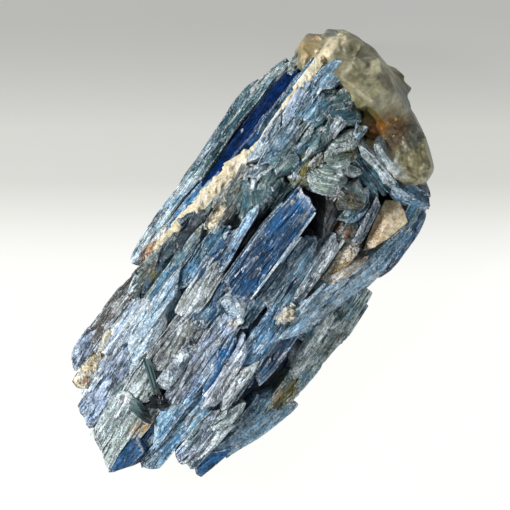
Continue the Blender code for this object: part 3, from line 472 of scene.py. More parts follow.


class Heap:
    """Copies of the patterns, and sculpted blades, that are to be grown together into one piece."""

    def __init__(self, name):
        self.name = name
        self.collection = shelf(name + " copies")
        self.chance = random.Random(f"{SEED} {name}")

    def add(self, pattern, pose, size, tone, second, calm=0.2):
        """Puts down one copy of a pattern: its own mesh, size, place and tones."""
        mesh = pattern.data.copy()
        points, at_corner = corner_points(mesh)
        self.mark(mesh, (points * size)[at_corner], tone, second, calm)
        mesh.transform(pose @ Matrix.Diagonal((*size, 1.0)))
        self.collection.objects.link(bpy.data.objects.new(f"{self.name} copy", mesh))

    def mark(self, mesh, corners, tone, second, calm, rim=None):
        """Gives a mesh its grain coordinates in millimetres, its two tones, its calm and its pale rims, which
        carry painted edge highlights and are partly pale fresh edges.
        """
        shift = np.array([self.chance.uniform(0, GRAIN_FIELD), self.chance.uniform(0, GRAIN_FIELD)])
        grain = np.stack([corners[:, 0], corners[:, 1] + corners[:, 2]], axis=1) + shift
        if not mesh.uv_layers:
            mesh.uv_layers.new()
        mesh.uv_layers[0].name = "grain"
        mesh.uv_layers[0].uv.foreach_set("vector", grain.ravel())
        for name, value in (("tone", tone), ("second", second)):
            colours = np.ones((len(mesh.polygons), 4))
            colours[:, :3] = value
            mesh.attributes.new(name, "FLOAT_COLOR", "FACE").data.foreach_set("color", colours.ravel())
        rims = rim if rim is not None else self.chamfers(mesh)
        for name, values in (("calm", np.full(len(mesh.polygons), calm)), ("rim", rims)):
            mesh.attributes.new(name, "FLOAT", "FACE").data.foreach_set("value", values)

    @staticmethod
    def chamfers(mesh):
        """1 on the faces that lean between a top and a side, 0 elsewhere: the rims where a painted edge
        highlight goes.
        """
        normals = np.empty(len(mesh.polygons) * 3)
        mesh.polygons.foreach_get("normal", normals)
        upward = normals[2::3]
        return ((upward > CHAMFER_LEAN[0]) & (upward < CHAMFER_LEAN[1])).astype(float)

    def tone(self, main, second, share=0.35, spread=0.22, glint=0.05, shade=0.06):
        """A lath's own tone: between two tones, with a few bright ones whitened as painted glints, and a few
        dark ones.
        """
        near_first = self.chance.random() > share
        mix = self.chance.uniform(*(NEAR_FIRST if near_first else NEAR_SECOND))
        light = 1.0 + self.chance.uniform(-spread, spread)
        first, other = TONES[main], TONES[second]
        colour = [(a + (b - a) * mix) * light for a, b in zip(first, other)]
        lot = self.chance.random()
        if lot < glint:
            colour = [value + (bright - value) * WHITENED for value, bright in zip(colour, TONES["white"])]
        elif lot < glint + shade:
            colour = [value * DARKENED for value in colour]
        return colour

    def grow_together(self):
        """Joins all the copies to the first one in a single skin."""
        first = put_on(self.collection.objects[0], bpy.context.scene.collection)
        first.name = self.name
        first.data.name = self.name
        join = first.modifiers.new("grow together", "BOOLEAN")
        join.operation = "UNION"
        join.operand_type = "COLLECTION"
        join.collection = self.collection
        join.solver = "MANIFOLD"
        apply(first, join)
        for copy in list(self.collection.objects):
            throw_away(copy)
        bpy.data.collections.remove(self.collection)
        return first


def pose_between(start, end, turn):
    """The place and turn of a bar whose top face runs from start to end."""
    along = end - start
    pose = Matrix.Translation((start + end) / 2)
    pose @= Matrix.Rotation(math.atan2(along.y, along.x), 4, "Z")
    pose @= Matrix.Rotation(-math.atan2(along.z, along.xy.length), 4, "Y")
    return pose @ Matrix.Rotation(turn, 4, "X"), along.length


def offset_pose(pose, x, y, z, yaw=0.0, roll=0.0, pitch=0.0):
    """A pose moved and turned a little within another, in degrees."""
    turned = Matrix.Rotation(math.radians(yaw), 4, "Z") @ Matrix.Rotation(math.radians(pitch), 4, "Y")
    return pose @ Matrix.Translation((x, y, z)) @ turned @ Matrix.Rotation(math.radians(roll), 4, "X")


# ---------------------------------------------------------------- blades

CELL_ACROSS, CELL_ALONG = 0.24, 0.8  # the net that a blade's surface is sculpted on
COARSE_NET = 1.7  # how much wider the net is on the flanks and the underside
SIDE_LEVELS = (0.45, 1.1, 2.0, 3.2)
HAIR = 0.01  # tells one level of the net from the next
CROWN, CROWN_CURVE = 0.07, 2.6  # how far a blade's edges lie below its middle, of its width
FIBRE_STEP = 0.045
FIBRE_RUNS = (3, 16)  # shortest and longest fibre, in cells
RUBBLE_CELL = 0.36
PLATES = 0.34  # cleavage plates on each square millimetre of a blade
PLATE_LENGTHS, PLATE_WIDTHS = (1.6, 9.0), (0.22, 0.95)
PLATE_LEVELS, CUT_LEVELS = (-0.05, 0.26), (-0.5, -0.12)
CUT_EVERY = 3  # of this many plates one is cut out instead of laid on
PLATE_TURN, PLATE_LEAN, PLATE_PITCH = 2.6, 11, 1.6
PLATE_SKEW, PLATE_TAPER = 0.5, 2.2
CRUMBS = 3.4  # plates of a jumble on a square as wide as one crystal
CRUMB_LENGTHS, CRUMB_WIDTHS, CRUMB_LEVELS = (0.7, 2.2), (0.2, 0.5), (-1.0, 0.3)
CRUMB_FLOOR = 3.0  # how far a jumble's gaps reach down
SCARS = 0.16  # scars on each square millimetre of a blade's side
SCAR_WIDTHS, SCAR_LENGTHS, SCAR_DEPTH = (0.3, 1.3), (1.6, 11.0), 0.5
SIDE_CELL = 0.6  # height of one row of a blade's side
TOP_WAVE = (9.0, 0.22)  # length and height of the swells along a blade's top
EDGE_WAVE = (5.0, 0.09)  # length of the swells along its edges, and their height as a share of half its width
END_POINTS, END_TIPS = (0.2, 1.5), (-0.5, -0.45, 0.45, 0.5)
BOW = 0.012  # how far a blade may bow sideways, of its length
LONGEST_FRAY, FRAY = 0.5, 0.05  # how far its end is frayed, at most and of its length
END_SPLAY, END_UNDERCUT = (0.02, 0.16), 0.12  # how an end leans out with depth, and then draws back in
SIDE_LEAN = 0.10  # how far a side leans out or in with depth
MOUND_TOP, MOUND_FALL = 0.5, 1.6  # a jumble's height in its middle, and how far it falls to its edge
STEP_SEEN = 0.22  # a step in a blade's top that is high enough to show a pale edge, a painted highlight that is partly a fresh edge
PALE_EDGES = 0.35  # share of the plates that show one
SIDE_PAINTED_SHADE = 0.55  # painted shade: lightness of a blade's sides, of its top's, so that the gaps between blades look dark
WIDER = 1.12  # how much wider a blade is than its row says, so that neighbours overlap
PLATE_TONES = 22  # tones that a blade's plates share out
SPLINTER_EVERY = 9.0  # length of blade that has one loose splinter
SPLINTER_LENGTHS, SPLINTER_WIDTHS, SPLINTER_DEPTH = (4.0, 12.0), (0.4, 1.2), 2.2
LEAST_RELIEF, RELIEF_GAIN = 0.1, 0.85  # how rough a blade is with no laths, and how much more they make it
LIGHTNESS = (0.88, 1.12)
RUBBLE_RELIEF, RUBBLE_ENDS = 0.7, [0.5, 0.0, 0.5, 0.0]


def slab_net(cells_along, cells_across):
    """A closed slab, one unit each way, with a fine net on top and down its sides; its top is at z 0."""
    bpy.ops.mesh.primitive_grid_add(x_subdivisions=cells_along, y_subdivisions=cells_across, size=1.0)
    slab = bpy.context.object
    drops = [0.0, *SIDE_LEVELS, BLADE_DEPTH]
    bpy.ops.object.mode_set(mode="EDIT")
    for above, below in zip(drops, drops[1:]):
        bpy.ops.mesh.extrude_region_move(TRANSFORM_OT_translate={"value": (0, 0, above - below)})
    bpy.ops.mesh.select_all(action="SELECT")
    bpy.ops.mesh.normals_make_consistent()
    bpy.ops.object.mode_set(mode="OBJECT")
    return slab


class Relief:
    """A height for each point of a net, built up from thin pointed plates laid on or cut into one another."""

    def __init__(self, rows, columns, cell_across, cell_along, chance):
        self.across = (np.arange(rows) - (rows - 1) / 2)[:, None] * cell_across
        self.along = (np.arange(columns) - (columns - 1) / 2)[None, :] * cell_along
        self.height = np.zeros((rows, columns))
        self.owner = np.zeros((rows, columns), dtype=int)
        self.turns = [0.0]
        self.chance = chance

    def lay(self, reach_long, reach_wide, turn, level, lean, pitch, cut=False):
        """Lays one plate somewhere on the net, or cuts one out."""
        x = self.chance.uniform(self.along[0, 0], self.along[0, -1])
        y = self.chance.uniform(self.across[0, 0], self.across[-1, 0])
        angle = math.radians(turn)
        u = (self.along - x) * math.cos(angle) + (self.across - y) * math.sin(angle)
        v = (self.across - y) * math.cos(angle) - (self.along - x) * math.sin(angle)
        skew = self.chance.uniform(-PLATE_SKEW, PLATE_SKEW)
        off_axis = np.abs(v / reach_wide - skew * u / reach_long)
        inside = off_axis + np.abs(u / reach_long) ** PLATE_TAPER < 1.0
        top = level + math.tan(math.radians(lean)) * v + math.tan(math.radians(pitch)) * u
        wins = inside & ((top < self.height) if cut else (top > self.height))
        self.height[wins] = top[wins]
        self.owner[wins] = len(self.turns)
        self.turns.append(angle)

    def split(self, area, relief):
        """Long thin plates along a blade, as where cleavage flakes broke away."""
        chance = self.chance
        for number in range(int(area * PLATES)):
            long = min(chance.uniform(*PLATE_LENGTHS), 0.8 * self.along[0, -1])
            wide = chance.uniform(*PLATE_WIDTHS)
            cut = number % CUT_EVERY == 0
            level = chance.uniform(*(CUT_LEVELS if cut else PLATE_LEVELS))
            self.lay(long, wide, chance.gauss(0, PLATE_TURN), level * relief,
                     chance.gauss(0, PLATE_LEAN) * relief, chance.gauss(0, PLATE_PITCH), cut)

    def crumble(self, area, grain, turn, spread, tilt):
        """Short plates that lie at all angles, as in a broken jumble of small crystals."""
        chance = self.chance
        self.height -= CRUMB_FLOOR
        for _ in range(int(area * CRUMBS / grain ** 2)):
            long = grain * chance.uniform(*CRUMB_LENGTHS)
            self.lay(long, long * chance.uniform(*CRUMB_WIDTHS), chance.gauss(turn, spread),
                     chance.uniform(*CRUMB_LEVELS) * grain ** 0.5, chance.gauss(0, tilt),
                     chance.gauss(0, tilt * 0.5))


def scars(shape, cell_along, chance):
    """How deep each point of a blade's sides is sunk, in long stretches where a splinter broke away."""
    field = np.zeros(shape)
    rows, columns = shape
    for _ in range(int(SCARS * rows * columns * cell_along * SIDE_CELL)):
        wide = max(1, round(chance.uniform(*SCAR_WIDTHS) / SIDE_CELL))
        long = max(2, round(chance.uniform(*SCAR_LENGTHS) / cell_along))
        row, column = chance.randrange(-wide, rows), chance.randrange(-long, columns)
        field[max(row, 0):row + wide, max(column, 0):column + long] += chance.uniform(-SCAR_DEPTH, 0.0)
    return np.abs(field)


def fibres(shape, chance):
    """A fine ridge or furrow on each row, which changes here and there along the blade."""
    rows, columns = shape
    field = np.zeros(shape)
    for number in range(rows):
        column = 0
        while column < columns:
            long = chance.randrange(*FIBRE_RUNS)
            field[number, column:column + long] = chance.uniform(-FIBRE_STEP, FIBRE_STEP)
            column += long
    return field


def wave(count, length, chance):
    """A slow random curve from -1 to 1 with a turn about every length points."""
    knots = [chance.uniform(-1, 1) for _ in range(int(count / length) + 3)]
    return np.interp(np.arange(count) / length, range(len(knots)), knots)


def end_line(count, width, fray, point, tip, chance):
    """How much each row falls short of a blade's end: a frayed point with its tip from -0.5 to 0.5 across."""
    steps = wave(count, chance.uniform(2.5, 7.0), chance) * fray
    y = np.linspace(-0.5, 0.5, count)
    short = point * np.abs(y - tip) * width + steps
    return short - short.min()


class Blade:
    """One kyanite blade, sculpted on a fine net: cleavage plates, fibres, bowed edges and slanted ends."""

    def __init__(self, heap, length, width, relief, net=1.0, ends=None):
        self.heap, self.length, self.width, self.relief = heap, length, width, relief
        self.chance = heap.chance
        self.cell_along, self.cell_across = CELL_ALONG * net, CELL_ACROSS * net
        self.shape(round(length / self.cell_along), round(width / self.cell_across))
        chance = self.chance
        self.ends = ends or [*self.any_end(), *self.any_end()]
        self.bow = chance.uniform(-BOW, BOW) * length

    def any_end(self):
        """How pointed an end is, and where across the blade its tip lies."""
        return self.chance.uniform(*END_POINTS), self.chance.choice(END_TIPS)

    def shape(self, cells_along, cells_across):
        """The net's size."""
        self.columns = max(6, cells_along) + 1
        self.rows = max(5, cells_across) + 1

    def heights(self):
        """The top's height at each point of the net."""
        relief = Relief(self.rows, self.columns, self.cell_across, self.cell_along, self.chance)
        relief.split(self.length * self.width, self.relief)
        self.owner, self.turns = relief.owner, relief.turns
        across = np.linspace(-1.0, 1.0, self.rows)[:, None]
        field = relief.height + fibres(relief.height.shape, self.chance) * (0.4 + 0.6 * self.relief)
        field += wave(self.columns, TOP_WAVE[0] / self.cell_along, self.chance) * TOP_WAVE[1] * self.relief
        return field - CROWN * self.width * np.abs(across) ** CROWN_CURVE

    def outline(self):
        """How far each of the two long edges lies in or out, as a share of half the width."""
        share = np.linspace(-1.0, 1.0, self.columns)
        edges = []
        for _ in range(2):
            edge = 1.0 + wave(self.columns, EDGE_WAVE[0] / self.cell_along, self.chance) * EDGE_WAVE[1]
            for side in (np.clip(share, 0.0, 1.0), np.clip(-share, 0.0, 1.0)):
                edge -= max(0.0, self.chance.uniform(-0.3, 0.4)) * side ** self.chance.uniform(1.4, 4.0)
            edges.append(edge)
        return edges

    def droop(self):
        """How much the top sinks towards each end."""
        far = np.arange(self.columns) * self.cell_along
        sink = np.zeros(self.columns)
        for distance in (far, far[::-1]):
            reach = self.chance.uniform(2.0, 0.35 * self.length + 2.0)
            sink += np.clip(1.0 - distance / reach, 0.0, 1.0) ** 1.7 * self.chance.uniform(0.2, 1.5)
        return sink * min(1.0, self.relief + 0.2)

    def sculpt(self, pose, tones, second):
        """Makes the blade and lays it at its pose; each of its plates has one of the tones."""
        chance = self.chance
        slab = slab_net(self.columns - 1, self.rows - 1)
        mesh = slab.data
        points, at_corner = corner_points(mesh)
        column = np.rint((points[:, 0] + 0.5) * (self.columns - 1)).astype(int)
        row = np.rint((points[:, 1] + 0.5) * (self.rows - 1)).astype(int)
        drop = -points[:, 2]
        fray = min(LONGEST_FRAY, FRAY * self.length) * self.relief
        first, last = (end_line(self.rows, self.width, fray, *self.ends[at:at + 2], chance) for at in (0, 2))
        start, end = -self.length / 2 + first[row], self.length / 2 - last[row]
        share = column / (self.columns - 1)
        x = start + (end - start) * share
        undercut = END_UNDERCUT * np.maximum(drop - 1.0, 0.0) ** 1.8
        x += (share - 0.5) * (drop * chance.uniform(*END_SPLAY) - undercut)
        low_edge, high_edge = self.outline()
        y = points[:, 1] * self.width
        y *= np.where(y < 0, low_edge[column], high_edge[column])
        y += self.bow * (1.0 - (2.0 * share - 1.0) ** 2)
        z = -drop
        top = drop < HAIR
        z[top] += self.heights()[row[top], column[top]]
        z -= self.droop()[column] * np.clip(1.0 - drop / 3.0, 0.0, 1.0)
        rim = ((row == 0) | (row == self.rows - 1)) & ~top
        sunk = scars((len(SIDE_LEVELS) * 2 + 2, self.columns), self.cell_along, chance) * self.relief
        level = np.searchsorted(np.array(SIDE_LEVELS) + HAIR, drop)
        level = np.clip(level + (row > 0) * len(SIDE_LEVELS), 0, len(sunk) - 1)
        inward = sunk[level, column] - SIDE_LEAN * drop * chance.uniform(-0.5, 1.0)
        inward *= np.where(row == 0, 1.0, -1.0)
        y[rim] += inward[rim]
        moved = np.stack([x, y, z], axis=1)
        mesh.vertices.foreach_set("co", moved.ravel())
        self.paint(mesh, at_corner, moved, tones, second, column, row, drop)
        mesh.transform(pose)
        slab.name = self.heap.name + " blade"
        return put_on(slab, self.heap.collection)

    def paint(self, mesh, at_corner, points, tones, second, column, row, drop):
        """Grain coordinates along each plate, the plates' tones with painted shade down the sides, and pale
        rims round the top and steps, which are painted edge highlights and partly pale fresh edges.
        """
        corners = at_corner.reshape(-1, 4)
        owner = self.owner[row[corners].min(axis=1), column[corners].min(axis=1)]
        at_top = drop[corners].max(axis=1) < SIDE_LEVELS[0] + HAIR
        at_side = (row[corners].min(axis=1) == 0) | (row[corners].max(axis=1) == self.rows - 1)
        at_end = (column[corners].min(axis=1) == 0) | (column[corners].max(axis=1) == self.columns - 1)
        stepped = np.ptp(points[corners][:, :, 2], axis=1) > STEP_SEEN
        pale = np.array([self.chance.random() < PALE_EDGES for _ in self.turns])
        # Painted edge highlight: pale rims round a blade's top, its ends and some steps, partly pale fresh
        # edges.
        rim = np.where(at_top & (at_side | at_end | (stepped & pale[owner])), 1.0, 0.0)
        angle = np.array(self.turns)[owner][:, None]
        places = points[corners]
        turned = np.stack([places[:, :, 0] * np.cos(angle) + places[:, :, 1] * np.sin(angle),
                           places[:, :, 1] * np.cos(angle) - places[:, :, 0] * np.sin(angle),
                           places[:, :, 2]], axis=2).reshape(-1, 3)
        palette = np.array([tones[number % len(tones)] for number in range(len(self.turns))])
        # Painted shade: the faces down a blade's sides take a darker tone than its top.
        shade = np.where(drop[corners].max(axis=1) > SIDE_LEVELS[0] + HAIR, SIDE_PAINTED_SHADE, 1.0)[:, None]
        self.heap.mark(mesh, turned, palette[owner] * shade, second, 1.0 - self.relief, rim)


class Rubble(Blade):
    """A mound of small crystals that lie at many angles."""

    def __init__(self, heap, length, width, grain, turn, spread, tilt):
        super().__init__(heap, length, width, RUBBLE_RELIEF)
        self.cell_along = self.cell_across = RUBBLE_CELL
        self.shape(round(length / RUBBLE_CELL), round(width / RUBBLE_CELL))
        self.ends = RUBBLE_ENDS
        self.grain, self.turn, self.spread, self.tilt = grain, turn, spread, tilt

    def heights(self):
        """The top's height at each point of the net."""
        relief = Relief(self.rows, self.columns, self.cell_across, self.cell_along, self.chance)
        relief.crumble(self.length * self.width, self.grain, self.turn, self.spread, self.tilt)
        self.owner, self.turns = relief.owner, relief.turns
        far_across = np.abs(relief.across) / relief.across[-1, 0]
        far_along = np.abs(relief.along) / relief.along[0, -1]
        return relief.height + MOUND_TOP - MOUND_FALL * np.maximum(far_across, far_along) ** 4


def lay_blade(heap, pose, length, width, main, second, fineness, net=1.0, ends=None):
    """A sculpted blade, and a few loose splinters across its edges."""
    chance = heap.chance
    relief = min(1.0, LEAST_RELIEF + fineness * RELIEF_GAIN)
    light = chance.uniform(*LIGHTNESS)
    tones = [[value * light for value in TONES[main]]]
    tones += [heap.tone(main, second, 0.4, 0.22 * relief, 0.07 * relief, 0.06 * relief)
              for _ in range(PLATE_TONES)]
    Blade(heap, length, width, relief, net, ends).sculpt(pose, tones, TONES[second])
    for _ in range(round(length / SPLINTER_EVERY * fineness / net)):
        run = min(chance.uniform(*SPLINTER_LENGTHS), 0.7 * length)
        x = chance.uniform(-0.5, 0.5) * (length - run)
        y = chance.choice((-0.5, 0.5)) * width * chance.uniform(0.5, 0.95)
        place = offset_pose(pose, x, y, chance.uniform(-0.8, -0.15),
                            chance.gauss(0, 3.0), chance.gauss(0, 14), chance.gauss(0, 1.2))
        heap.add(chance.choice(LATHS), place, (run, chance.uniform(*SPLINTER_WIDTHS), SPLINTER_DEPTH),
                 heap.tone(main, second), TONES[second])


RUBBLE_TONES = 30
RUBBLE = (
    # x, y, length, width, lift, size of the crystals, their turn and its spread, tilt, tones
    (9.5, 14.2, 16.0, 5.6, -0.5, 2.4, 8, 14, 12, ("greygreen", "brown")),
    (15.4, 9.4, 16.0, 7.6, -0.7, 2.8, 12, 20, 14, ("teal", "greygreen")),
    (26.0, 8.6, 10.0, 7.0, -0.2, 3.0, -14, 16, 12, ("teal", "greygreen")),
    (39.5, 9.6, 12.0, 6.0, -0.3, 3.0, -8, 16, 12, ("teal", "steel")),
    (27.6, 3.4, 13.0, 6.4, -1.1, 2.4, -12, 20, 15, ("greygreen", "olive")),
    (27.6, -8.6, 9.0, 9.0, -0.5, 3.4, -62, 13, 13, ("greygreen", "brown")),
    (28.6, -2.2, 8.4, 8.6, 0.4, 3.8, -58, 12, 12, ("greygreen", "palegreen")),
    (34.8, -0.8, 13.0, 6.4, -0.7, 3.2, -16, 15, 13, ("greygreen", "palegreen")),
    (35.0, 6.2, 13.0, 7.4, -0.7, 2.8, -4, 18, 12, ("teal", "greygreen")),
    (43.4, 5.6, 10.0, 11.0, -0.9, 2.8, -34, 18, 13, ("teal", "greygreen")),
    (13.6, -16.2, 14.0, 4.6, -0.9, 2.2, -8, 14, 12, ("brown", "tan")),
    (20.2, -13.2, 8.0, 4.4, -1.4, 2.0, -4, 16, 14, ("brown", "greygreen")),
    (-4.2, -12.4, 6.0, 3.4, 0.2, 1.0, 20, 60, 18, ("cream", "beige")),
    (-41.6, 19.0, 11.0, 4.2, -0.3, 1.5, 8, 50, 16, ("beige", "cream")),
    (-33.0, 19.6, 8.0, 2.6, -0.3, 1.4, 0, 30, 12, ("pale", "beige")),
    (-26.5, 2.0, 18.0, 4.0, 0.0, 1.3, 0, 40, 18, ("pale", "slate")),
    (-8.8, -1.0, 7.0, 6.4, 0.9, 2.2, 60, 40, 12, ("sky", "pale")),
    (-1.0, 18.0, 14.0, 3.4, -1.3, 1.8, 0, 16, 14, ("slate", "dark")),
    (-14.0, 18.8, 14.0, 3.0, -1.9, 2.2, 0, 12, 14, ("deepteal", "slate")),
)


def mounds(heap, low, high):
    """The broken jumbles between the blades."""
    for x, y, length, width, lift, grain, turn, spread, tilt, tones in RUBBLE:
        if not low <= x < high:
            continue
        pose = Matrix.Translation(on_dome(x, y, lift)) @ Matrix.Rotation(dome_roll(x, y), 4, "X")
        colours = [heap.tone(*tones, 0.35, 0.2, 0.05, 0.08) for _ in range(RUBBLE_TONES)]
        Rubble(heap, length, width, grain, turn, spread, tilt).sculpt(pose, colours, TONES[tones[1]])


SHARDS = (
    # kind, x, y, reach along x, reach along y, number, shortest and longest, turn, spread of the turn,
    # tilt, lift, tones
    ("lath", 12.0, 14.5, 9.0, 2.6, 12, 2.5, 7.0, 6, 14, 14, -0.9, ("greygreen", "beige")),
    ("lath", 15.0, 10.6, 4.0, 1.4, 5, 2.5, 4.5, 4, 10, 10, 0.1, ("pale", "greygreen")),
    ("lath", -8.0, 19.4, 11.0, 2.0, 20, 2.5, 8.0, 0, 8, 18, -2.8, ("slate", "deepteal")),
    ("lath", -24.0, 22.0, 6.0, 1.6, 14, 1.5, 5.0, -3, 10, 16, -0.3, ("mauve", "pale")),
    ("grain", -4.0, -12.4, 2.6, 1.3, 12, 0.8, 1.8, 30, 60, 30, 0.3, ("cream", "greygreen")),
    ("grain", -40.5, 19.0, 5.0, 1.4, 12, 0.8, 1.8, 10, 60, 30, 0.0, ("cream", "tan")),
    ("grain", -26.0, 2.2, 9.0, 1.8, 26, 0.6, 1.4, 0, 60, 30, 0.0, ("white", "slate")),
)
# Patterns of each kind, narrowest and widest as a share of the length, and thickness in millimetres or
# as a share of the length.
SHARD_KINDS = {"lath": (LATHS, 0.16, 0.45, 2.4, 0.0), "grain": (GRAINS, 0.6, 1.0, 0.0, 0.6)}
SHARD_LIFTS = (-0.8, 0.6)


def scatter_shards(heap, low, high):
    """Short broken crystals that fill the hollows and crust the surface at named places."""
    chance = heap.chance
    for kind, x, y, reach_x, reach_y, count, short, long, turn, spread, tilt, lift, tones in SHARDS:
        if not low <= x < high:
            continue
        shapes, narrow, wide, thick, thick_share = SHARD_KINDS[kind]
        for _ in range(count):
            at_x, at_y = x + chance.uniform(-1, 1) * reach_x, y + chance.uniform(-1, 1) * reach_y
            run = chance.uniform(short, long)
            height = dome(at_x, at_y) + lift + chance.uniform(*SHARD_LIFTS)
            pose = Matrix.Translation((at_x, at_y, height))
            pose @= Matrix.Rotation(math.radians(chance.gauss(turn, spread)), 4, "Z")
            pose @= Matrix.Rotation(dome_roll(at_x, at_y) + math.radians(chance.gauss(0, tilt)), 4, "X")
            pose @= Matrix.Rotation(math.radians(chance.gauss(0, tilt / 3)), 4, "Y")
            size = (run, run * chance.uniform(narrow, wide), thick + run * thick_share)
            heap.add(chance.choice(shapes), pose, size, heap.tone(*tones), TONES[tones[1]])


def bar_of_heart(heap, start_x, end_x, start_y, end_y, width, start_top, end_top):
    """A thick dark bar under the visible blades, whose dark tone is painted shade in the gaps between them.
    """
    start = Vector((start_x, start_y, start_top - HEART_SINK))
    end = Vector((end_x, end_y, end_top - HEART_SINK))
    pose, length = pose_between(start, end, 0.0)
    depth = min(start_top, end_top) - HEART_FOOT
    heap.add(BED, pose, (length, width * HEART_SHARE, depth), TONES["deepteal"], TONES["slate"])


def blades_on_dome(heap, rows, lowered):
    """The blades of a table, each on the dome or on the sheaf's lower dome."""
    for start_x, start_y, end_x, end_y, width, lift, roll, main, second, fineness, *ends in rows:
        start = Vector((start_x, start_y, dome(start_x, start_y) + lift - lowered))
        end = Vector((end_x, end_y, dome(end_x, end_y) + lift - lowered))
        turn = math.radians(roll) + dome_roll((start_x + end_x) / 2, (start_y + end_y) / 2)
        pose, length = pose_between(start, end, turn)
        lay_blade(heap, pose, length, width * WIDER, main, second, fineness, 1.0, ends)


FLANK_TONES = (
    ("steel", "slate"), ("teal", "greygreen"), ("mid", "steel"), ("greygreen", "pale"), ("denim", "mid"),
)


def flank_blades(heap, rows, edge, side, first_x, last_x):
    """Rows of blades that stand on edge along one flank."""
    chance = heap.chance
    for row, (top, inset, width, roll) in enumerate(rows):
        x = first_x + (row % 2) * FLANK_STEP / 2 + LOWER_STARTS * (rows[0][0] - top)
        while x < last_x:
            start_x = x + chance.uniform(-FLANK_JITTER, FLANK_JITTER)
            end_x = min(start_x + FLANK_LENGTH * chance.uniform(0.8, 1.2), last_x + FLANK_OVERRUN)
            at_start, at_end = (edge_at(edge, at) - side * inset for at in (start_x, end_x))
            rise = chance.uniform(-FLANK_TILT, FLANK_TILT)
            start = Vector((start_x, at_start, top + rise))
            end = Vector((end_x, at_end, top - rise))
            turn = math.radians(-side * (roll + chance.uniform(-FLANK_SWAY, FLANK_SWAY)))
            pose, length = pose_between(start, end, turn)
            lay_blade(heap, pose, length, width, *chance.choice(FLANK_TONES), chance.uniform(0.6, 1.0),
                      COARSE_NET)
            x += FLANK_STEP


def underside_blades(heap):
    """Broad blades laid under the bundle."""
    chance = heap.chance
    for row, y in enumerate(UNDERSIDE_PLACES):
        for first_x in UNDERSIDE_STARTS:
            start_x = first_x + chance.uniform(-UNDERSIDE_JITTER, UNDERSIDE_JITTER)
            start_x += (row % 2) * UNDERSIDE_STAGGER
            outer = row in (0, len(UNDERSIDE_PLACES) - 1)
            foot = 0.0 if outer else chance.uniform(0.0, UNDERSIDE_RISE)
            end_x = min(start_x + UNDERSIDE_LENGTH, UNDERSIDE_STOP)
            start = Vector((start_x, y + chance.uniform(-1, 1), foot))
            end = Vector((end_x, y + chance.uniform(-1, 1), foot))
            turn = math.radians(180.0 + chance.uniform(-3, 3))
            pose, length = pose_between(start, end, turn)
            lay_blade(heap, pose, length, UNDERSIDE_WIDTH, *chance.choice(FLANK_TONES), 0.6, COARSE_NET)


CUT_CALM = 0.3  # how calm the streaks are on faces cut flat
FLOOR_BLOCK = 200.0  # a block under the floor that is wider than the specimen
SMALLEST_SKIN = 1.5  # cubic millimetres


def drop_stray_skins(piece):
    """Removes the sealed pockets and loose chips that a union leaves inside or beside a piece."""
    work = bmesh.new()
    work.from_mesh(piece.data)
    unseen = set(work.verts)
    while unseen:
        seed = unseen.pop()
        skin, frontier = [seed], [seed]
        while frontier:
            for edge in frontier.pop().link_edges:
                for other in edge.verts:
                    if other in unseen:
                        unseen.discard(other)
                        skin.append(other)
                        frontier.append(other)
        faces = {face for corner in skin for face in corner.link_faces}
        volume = sum(face.calc_center_median().dot(face.normal) * face.calc_area() for face in faces) / 3
        if volume < SMALLEST_SKIN:
            bmesh.ops.delete(work, geom=skin, context="VERTS")
    work.to_mesh(piece.data)
    work.free()


def rest_on_floor(piece, heap=None):
    """Cuts a piece flat where it rests, and gives a heap's cut faces tones of their own."""
    bpy.ops.mesh.primitive_cube_add(size=FLOOR_BLOCK, location=(0, 0, -FLOOR_BLOCK / 2))
    below = bpy.context.object
    if heap:
        points, at_corner = corner_points(below.data)
        no_rims = np.zeros(len(below.data.polygons))
        heap.mark(below.data, points[at_corner], TONES["steel"], TONES["denim"], CUT_CALM, no_rims)
    cut = piece.modifiers.new("rest", "BOOLEAN")
    cut.operation = "DIFFERENCE"
    cut.solver = "MANIFOLD"
    cut.object = below
    apply(piece, cut)
    throw_away(below)


def to_metres(piece):
    """Turns a piece modelled in millimetres into metres, with its place in its mesh."""
    take(piece)
    piece.data.transform(piece.matrix_world)
    piece.matrix_world = Matrix.Identity(4)
    piece.data.transform(Matrix.Scale(MM, 4))
    piece.data.update()
    return piece


def grown_piece(heap):
    """A heap as one finished piece."""
    piece = heap.grow_together()
    rest_on_floor(piece, heap)
    drop_stray_skins(piece)
    return to_metres(piece)


# The lengths of the bundle's top: name, and the x between which a blade's middle lies.
BUNDLE_PARTS = (
    ("kyanite_free_end", -100.0, -27.0), ("kyanite_waist", -27.0, 4.0), ("kyanite_head_end", 4.0, 100.0),
)


def make_bundle():
    """The kyanite bundle: its domed top in three lengths, and the blades of its flanks and underside."""
    parts = []
    for name, low, high in BUNDLE_PARTS:
        heap = Heap(name)
        for table in (BUNDLE_BLADES, UNDERLAY):
            blades_on_dome(heap, [row for row in table if low <= (row[0] + row[2]) / 2 < high], 0.0)
        mounds(heap, low, high)
        scatter_shards(heap, low, high)
        parts.append(grown_piece(heap))
    sides = Heap("kyanite_sides")
    for row in HEART:
        bar_of_heart(sides, *row)
    flank_blades(sides, FLANK_ROWS, LOW_EDGE, -1, FLANK_START, FLANK_STOP)
    flank_blades(sides, FLANK_ROWS, BACK_EDGE, 1, FLANK_START, FLANK_STOP)
    underside_blades(sides)
    parts.append(grown_piece(sides))
    return parts


def make_sheaf():
    """The lower sheaf behind the vein."""
    sheaf = Heap("kyanite_sheaf")
    for row in SHEAF_HEART:
        bar_of_heart(sheaf, *row)
    blades_on_dome(sheaf, SHEAF_BLADES, SHEAF_DROP)
    flank_blades(sheaf, SHEAF_ROWS, SHEAF_EDGE, 1, SHEAF_FLANK_START, SHEAF_FLANK_STOP)
    return grown_piece(sheaf)


# ---------------------------------------------------------------- quartz, vein and dark crystals

